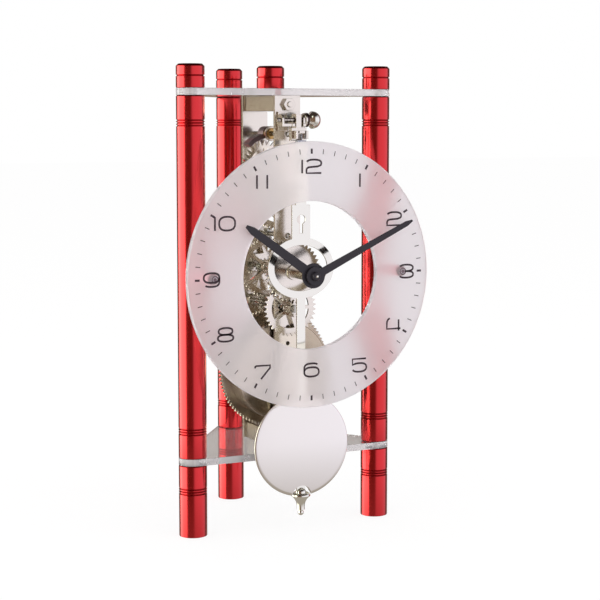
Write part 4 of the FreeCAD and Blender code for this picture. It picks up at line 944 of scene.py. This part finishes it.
spindle = smooth(piece_from("beat_screw_turned", along_x(
    [(0, 0), (screw_radius * screw_point_share, 0), (screw_radius, screw_point_length),
     (screw_radius, collar_start), (collar_radius - collar_chamfer, collar_start),
     (collar_radius, collar_start + collar_chamfer), (collar_radius, washer_start),
     (0, washer_start)])))
fit(spindle, bright_nickel, "nickel_plate", "beat_screw_group", "beat_screw")
washer_radius = collar_radius + washer_overhang
washer = smooth(piece_from("beat_screw_washer", along_x(
    [(0, washer_start), (washer_radius, washer_start), (washer_radius, washer_end),
     (0, washer_end)])))
fit(washer, dark_steel_and_thread_shade, "blackened_steel", "beat_screw_group", "beat_screw")
dome = [(radius, dome_start + rise) for radius, rise
        in arc(knob_radius, screw_length - dome_start, dome_end, dome_squareness)]
grip = smooth(piece_from("beat_screw_knob", along_x(
    [(0, washer_end), (collar_radius * neck_share, washer_end),
     (collar_radius * neck_top_share, disc_start - neck_flare), (collar_radius, disc_start),
     (knob_radius - disc_rounding, disc_start + disc_lip),
     (knob_radius, disc_start + disc_thickness)] + dome + [(0, screw_length)],
    knob_segments)), knob_crease)
fit(grip, mirror, "polished_nickel", "beat_screw_group", "beat_screw")


# Beat screw's thread
# A fine thread round the screw's bright shank; its ridges take the dark blackened-steel finish
# as painted shade.
# Geometry Nodes sweep a small square section along a helix.

thread_pitch = 0.0007
thread_ridge = 0.00013
thread_margin = 0.0004
thread_steps = 24
ridge_sides = 4

thread_tree, start, end = new_tree(
    "screw_thread", Turns="Float", Radius="Float", Length="Float", Ridge="Float", Turn="Vector",
    Place="Vector", Material="Material")
helix = node(thread_tree, "GeometryNodeCurveSpiral", (-900, 200))
helix.inputs["Resolution"].default_value = thread_steps
ridge = node(thread_tree, "GeometryNodeCurvePrimitiveCircle", (-900, -200))
ridge.inputs["Resolution"].default_value = ridge_sides
sweep = node(thread_tree, "GeometryNodeCurveToMesh", (-500, 0))
sweep.inputs["Fill Caps"].default_value = True
laid = node(thread_tree, "GeometryNodeTransform", (-250, 0))
join(thread_tree,
     (start.outputs["Turns"], helix.inputs["Rotations"]),
     (start.outputs["Radius"], helix.inputs["Start Radius"]),
     (start.outputs["Radius"], helix.inputs["End Radius"]),
     (start.outputs["Length"], helix.inputs["Height"]),
     (start.outputs["Ridge"], ridge.inputs["Radius"]),
     (helix.outputs[0], sweep.inputs["Curve"]),
     (ridge.outputs[0], sweep.inputs["Profile Curve"]),
     (sweep.outputs[0], laid.inputs["Geometry"]),
     (start.outputs["Turn"], laid.inputs["Rotation"]),
     (start.outputs["Place"], laid.inputs["Translation"]))
painted(thread_tree, laid.outputs[0], start, end)
thread_length = collar_start - 2 * thread_margin
thread = placed("beat_screw_thread", bpy.data.meshes.new("beat_screw_thread"))
# The dark finish on the thread's ridges is painted shade of the fine thread, not a different
# metal.
grown(thread, thread_tree, {
    "Turns": thread_length / thread_pitch, "Radius": screw_radius, "Length": thread_length,
    "Ridge": thread_ridge, "Turn": (0.0, math.pi / 2, 0.0), "Material": dark_steel_and_thread_shade,
    "Place": (low.x + thread_margin, screw_start[1], screw_start[2])})
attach(thread, "beat_screw_group")


# Pendulum rod
# A stamped and polished nickel strip that widens to an oval loop round the hand pipes.
# It hangs from the suspension spring, and its lower strip goes through the bob and the nut.

rod_edge = 0.0003
lower_rod_half = 0.0020
rod_thickness = 0.0008

fit(dressed("pendulum_rod", "polished", rod_edge), mirror, "polished_nickel", "pendulum",
    "pendulum_rod")
low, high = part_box("pendulum_rod")
rod_middle = (low.y + high.y) / 2


# Pendulum bob
# A polished nickel disc with a shallow dome in front, a thin rim and an undercut behind it.
# A slot lets the rod through, and a notch at its foot makes room for the rating nut.

bob_round = 0.0002
bob_undercut = 0.0012
bob_rim = 0.0020
bob_back_bulge = 0.0006
notch_radius = 0.0046
slot_gap = 0.0001
bob_steps = 16
bob_segments = 128
bob_crease = 50

low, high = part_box("pendulum_bob")
bob_radius = (high.z - low.z) / 2
bob_centre = ((low.x + high.x) / 2, 0.0, (low.z + high.z) / 2)
front, back = -low.y, -high.y
back_rim = back + bob_back_bulge
front_rim = back_rim + bob_rim
back_radius = bob_radius - bob_undercut - bob_round
shares = [step / bob_steps for step in range(bob_steps)]
lens = [(bob_radius * share, front + (front_rim - front) * share ** 2) for share in shares]
lens += [(bob_radius - bob_round, front_rim), (bob_radius, front_rim - bob_round),
         (bob_radius, front_rim - 2 * bob_round),
         (bob_radius - bob_undercut, back_rim + bob_round / 2), (back_radius, back_rim)]
lens += [(back_radius * share, back + bob_back_bulge * share ** 2) for share in shares[::-1]]
bob = piece_from("pendulum_bob_polished", turned(lens[::-1], bob_centre, bob_segments, "Y"))
notch = turned([(0, back - bob_rim), (notch_radius, back - bob_rim),
                (notch_radius, front + bob_rim), (0, front + bob_rim)],
               (bob_centre[0], 0.0, low.z), knob_segments, "Y")
rod_slot = bmesh.new()
bmesh.ops.create_cube(rod_slot, size=1.0)
slot_size = (2 * (lower_rod_half + slot_gap), rod_thickness + 2 * slot_gap, 4 * bob_radius)
slot_middle = (bob_centre[0], rod_middle, bob_centre[2])
for vert in rod_slot.verts:
    vert.co = [share * size + middle
               for share, size, middle in zip(vert.co, slot_size, slot_middle)]
for name, cutter_shape in (("bob_notch", notch), ("bob_slot", rod_slot)):
    cutter = piece_from(name, cutter_shape)
    cut = bob.modifiers.new(name, "BOOLEAN")
    cut.operation = "DIFFERENCE"
    cut.solver = "EXACT"
    cut.object = cutter
    baked(bob)
    bpy.data.objects.remove(cutter)
smooth(bob, bob_crease)
bob_finish = metal("bob_nickel", (0.765, 0.745, 0.69), 0.13, (0.10, 0.17), 300.0, 0.02)
fit(bob, bob_finish, "polished_nickel", "bob", "pendulum_bob")


# Rating nut
# A turned and polished nut on the rod's end: a ball foot, a waist and a curved flare.
# A dome stands on its flange and reaches into the bob's notch; it is bored for the rod.

tip_radius = 0.0013
ball_end = 140
waist_radius = 0.0017
flare_power = 3.2
flare_steps = 16
flare_top_share = 0.86
flange_radius = 0.0041
flange_proud = 0.00005
flange_rim_share = 0.90
flange_edge = 0.0002
flange_edge_share = 0.96
flange_chamfer = 0.0008
nut_bore = 0.00085
bore_bottom = 0.00205
crown_radius = 0.0023
crown_height = 0.0021
crown_foot = 0.0003
crown_end = 70

low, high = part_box("rating_nut")
nut_height = high.z - low.z
nut_centre = ((low.x + high.x) / 2, (low.y + high.y) / 2, low.z)
ball = [(tip_radius * math.sin(math.radians(turn)),
         tip_radius * (1 - math.cos(math.radians(turn))))
        for turn in range(0, ball_end + 1, arc_step)]
flare_start = tip_radius * 2
flare = [(waist_radius + (flange_radius - waist_radius) * (step / flare_steps) ** flare_power,
          flare_start + (nut_height * flare_top_share - flare_start) * step / flare_steps)
         for step in range(flare_steps + 1)]
crown = [(radius, nut_height + rise) for radius, rise
         in arc(crown_radius, crown_height, crown_end)]
profile = ball + flare + [
    (flange_radius + flange_proud, nut_height * flange_rim_share),
    (flange_radius - flange_edge, nut_height * flange_edge_share),
    (flange_radius - flange_chamfer, nut_height), (crown_radius + crown_foot, nut_height)]
profile += crown + [(nut_bore, nut_height + crown_height), (nut_bore, bore_bottom),
                    (0, bore_bottom)]
nut = smooth(piece_from("rating_nut_turned", turned(profile, nut_centre, knob_segments)),
             knob_crease)
fit(nut, mirror, "polished_nickel", "rating_nut_group", "rating_nut")


# Hands
# Stamped metal hands, tapered to their tips, lacquered anthracite with a satin sheen.
# The hour hand grips the hour pipe and the minute hand the square of the cannon pinion.

hand_edge = 0.00012
hour_tip_share = 0.8
minute_tip_share = 0.62
hand_root_share = 0.25

anthracite = finish("anthracite_lacquer", (0.019, 0.016, 0.021, 1.0), 0.0, 0.42,
                    Specular_IOR_Level=0.35)
grain(anthracite, (0.36, 0.5), 1500.0, 0.06)


def slimmed(piece, centre, share):
    """Narrow a hand toward its tip, which gets this share of its width."""
    verts = piece.data.vertices
    tip = max((Vector((vert.co.x - centre[0], 0.0, vert.co.z - centre[2])) for vert in verts),
              key=lambda reach: reach.length)
    length = tip.length
    along = tip / length
    aside = Vector((along.z, 0.0, -along.x))
    for vert in verts:
        reach = Vector((vert.co.x - centre[0], 0.0, vert.co.z - centre[2]))
        out = reach.dot(along) / length
        if out > hand_root_share:
            vert.co -= aside * reach.dot(aside) * (1 - share) * out
    return piece


for node_name, body, share in (("hour_hand", "hour_group", hour_tip_share),
                               ("minute_hand", "center_group", minute_tip_share)):
    hand = slimmed(dressed(node_name, "lacquered", hand_edge), dial_centre, share)
    fit(hand, anthracite, "anthracite_lacquer", body, node_name)


# Hand nut and centre pin
# A turned nut, lacquered like the hands, holds them on the centre arbor.
# The arbor's polished end shows as a bright point in its middle.

hub_front = 0.0481
hub_side = 0.0007
hub_slope = (0.0001, 0.0003)
hub_shoulder = (0.0004, 0.00005)
pin_radius = 0.0006
pin_recess = 0.0001
pin_sunk = 0.0004
pin_bevel_share = 0.7
pin_bevel = 0.00005
pin_proud = 0.00015
pin_segments = 32

low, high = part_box("hand_nut")
hub_radius = (high.x - low.x) / 2
hub_centre = ((low.x + high.x) / 2, 0.0, (low.z + high.z) / 2)
hub = smooth(piece_from("hand_nut_domed", turned(
    [(0, -high.y), (hub_radius, -high.y), (hub_radius, hub_front - hub_side),
     (hub_radius - hub_slope[0], hub_front - hub_slope[1]),
     (hub_radius - hub_shoulder[0], hub_front - hub_shoulder[1]),
     (pin_radius + pin_recess, hub_front), (pin_radius, hub_front - pin_recess),
     (0, hub_front - pin_recess)], hub_centre, screw_segments, "Y")), knob_crease)
fit(hub, anthracite, "anthracite_lacquer", "center_group", "hand_nut")
pin = smooth(piece_from("center_pin_polished", turned(
    [(0, hub_front - pin_sunk), (pin_radius, hub_front - pin_sunk),
     (pin_radius, hub_front - pin_bevel),
     (pin_radius * pin_bevel_share, hub_front + 2 * pin_bevel), (0, hub_front + pin_proud)],
    hub_centre, pin_segments, "Y")), knob_crease)
fit(pin, mirror, "polished_nickel", "center_group", "hand_nut")
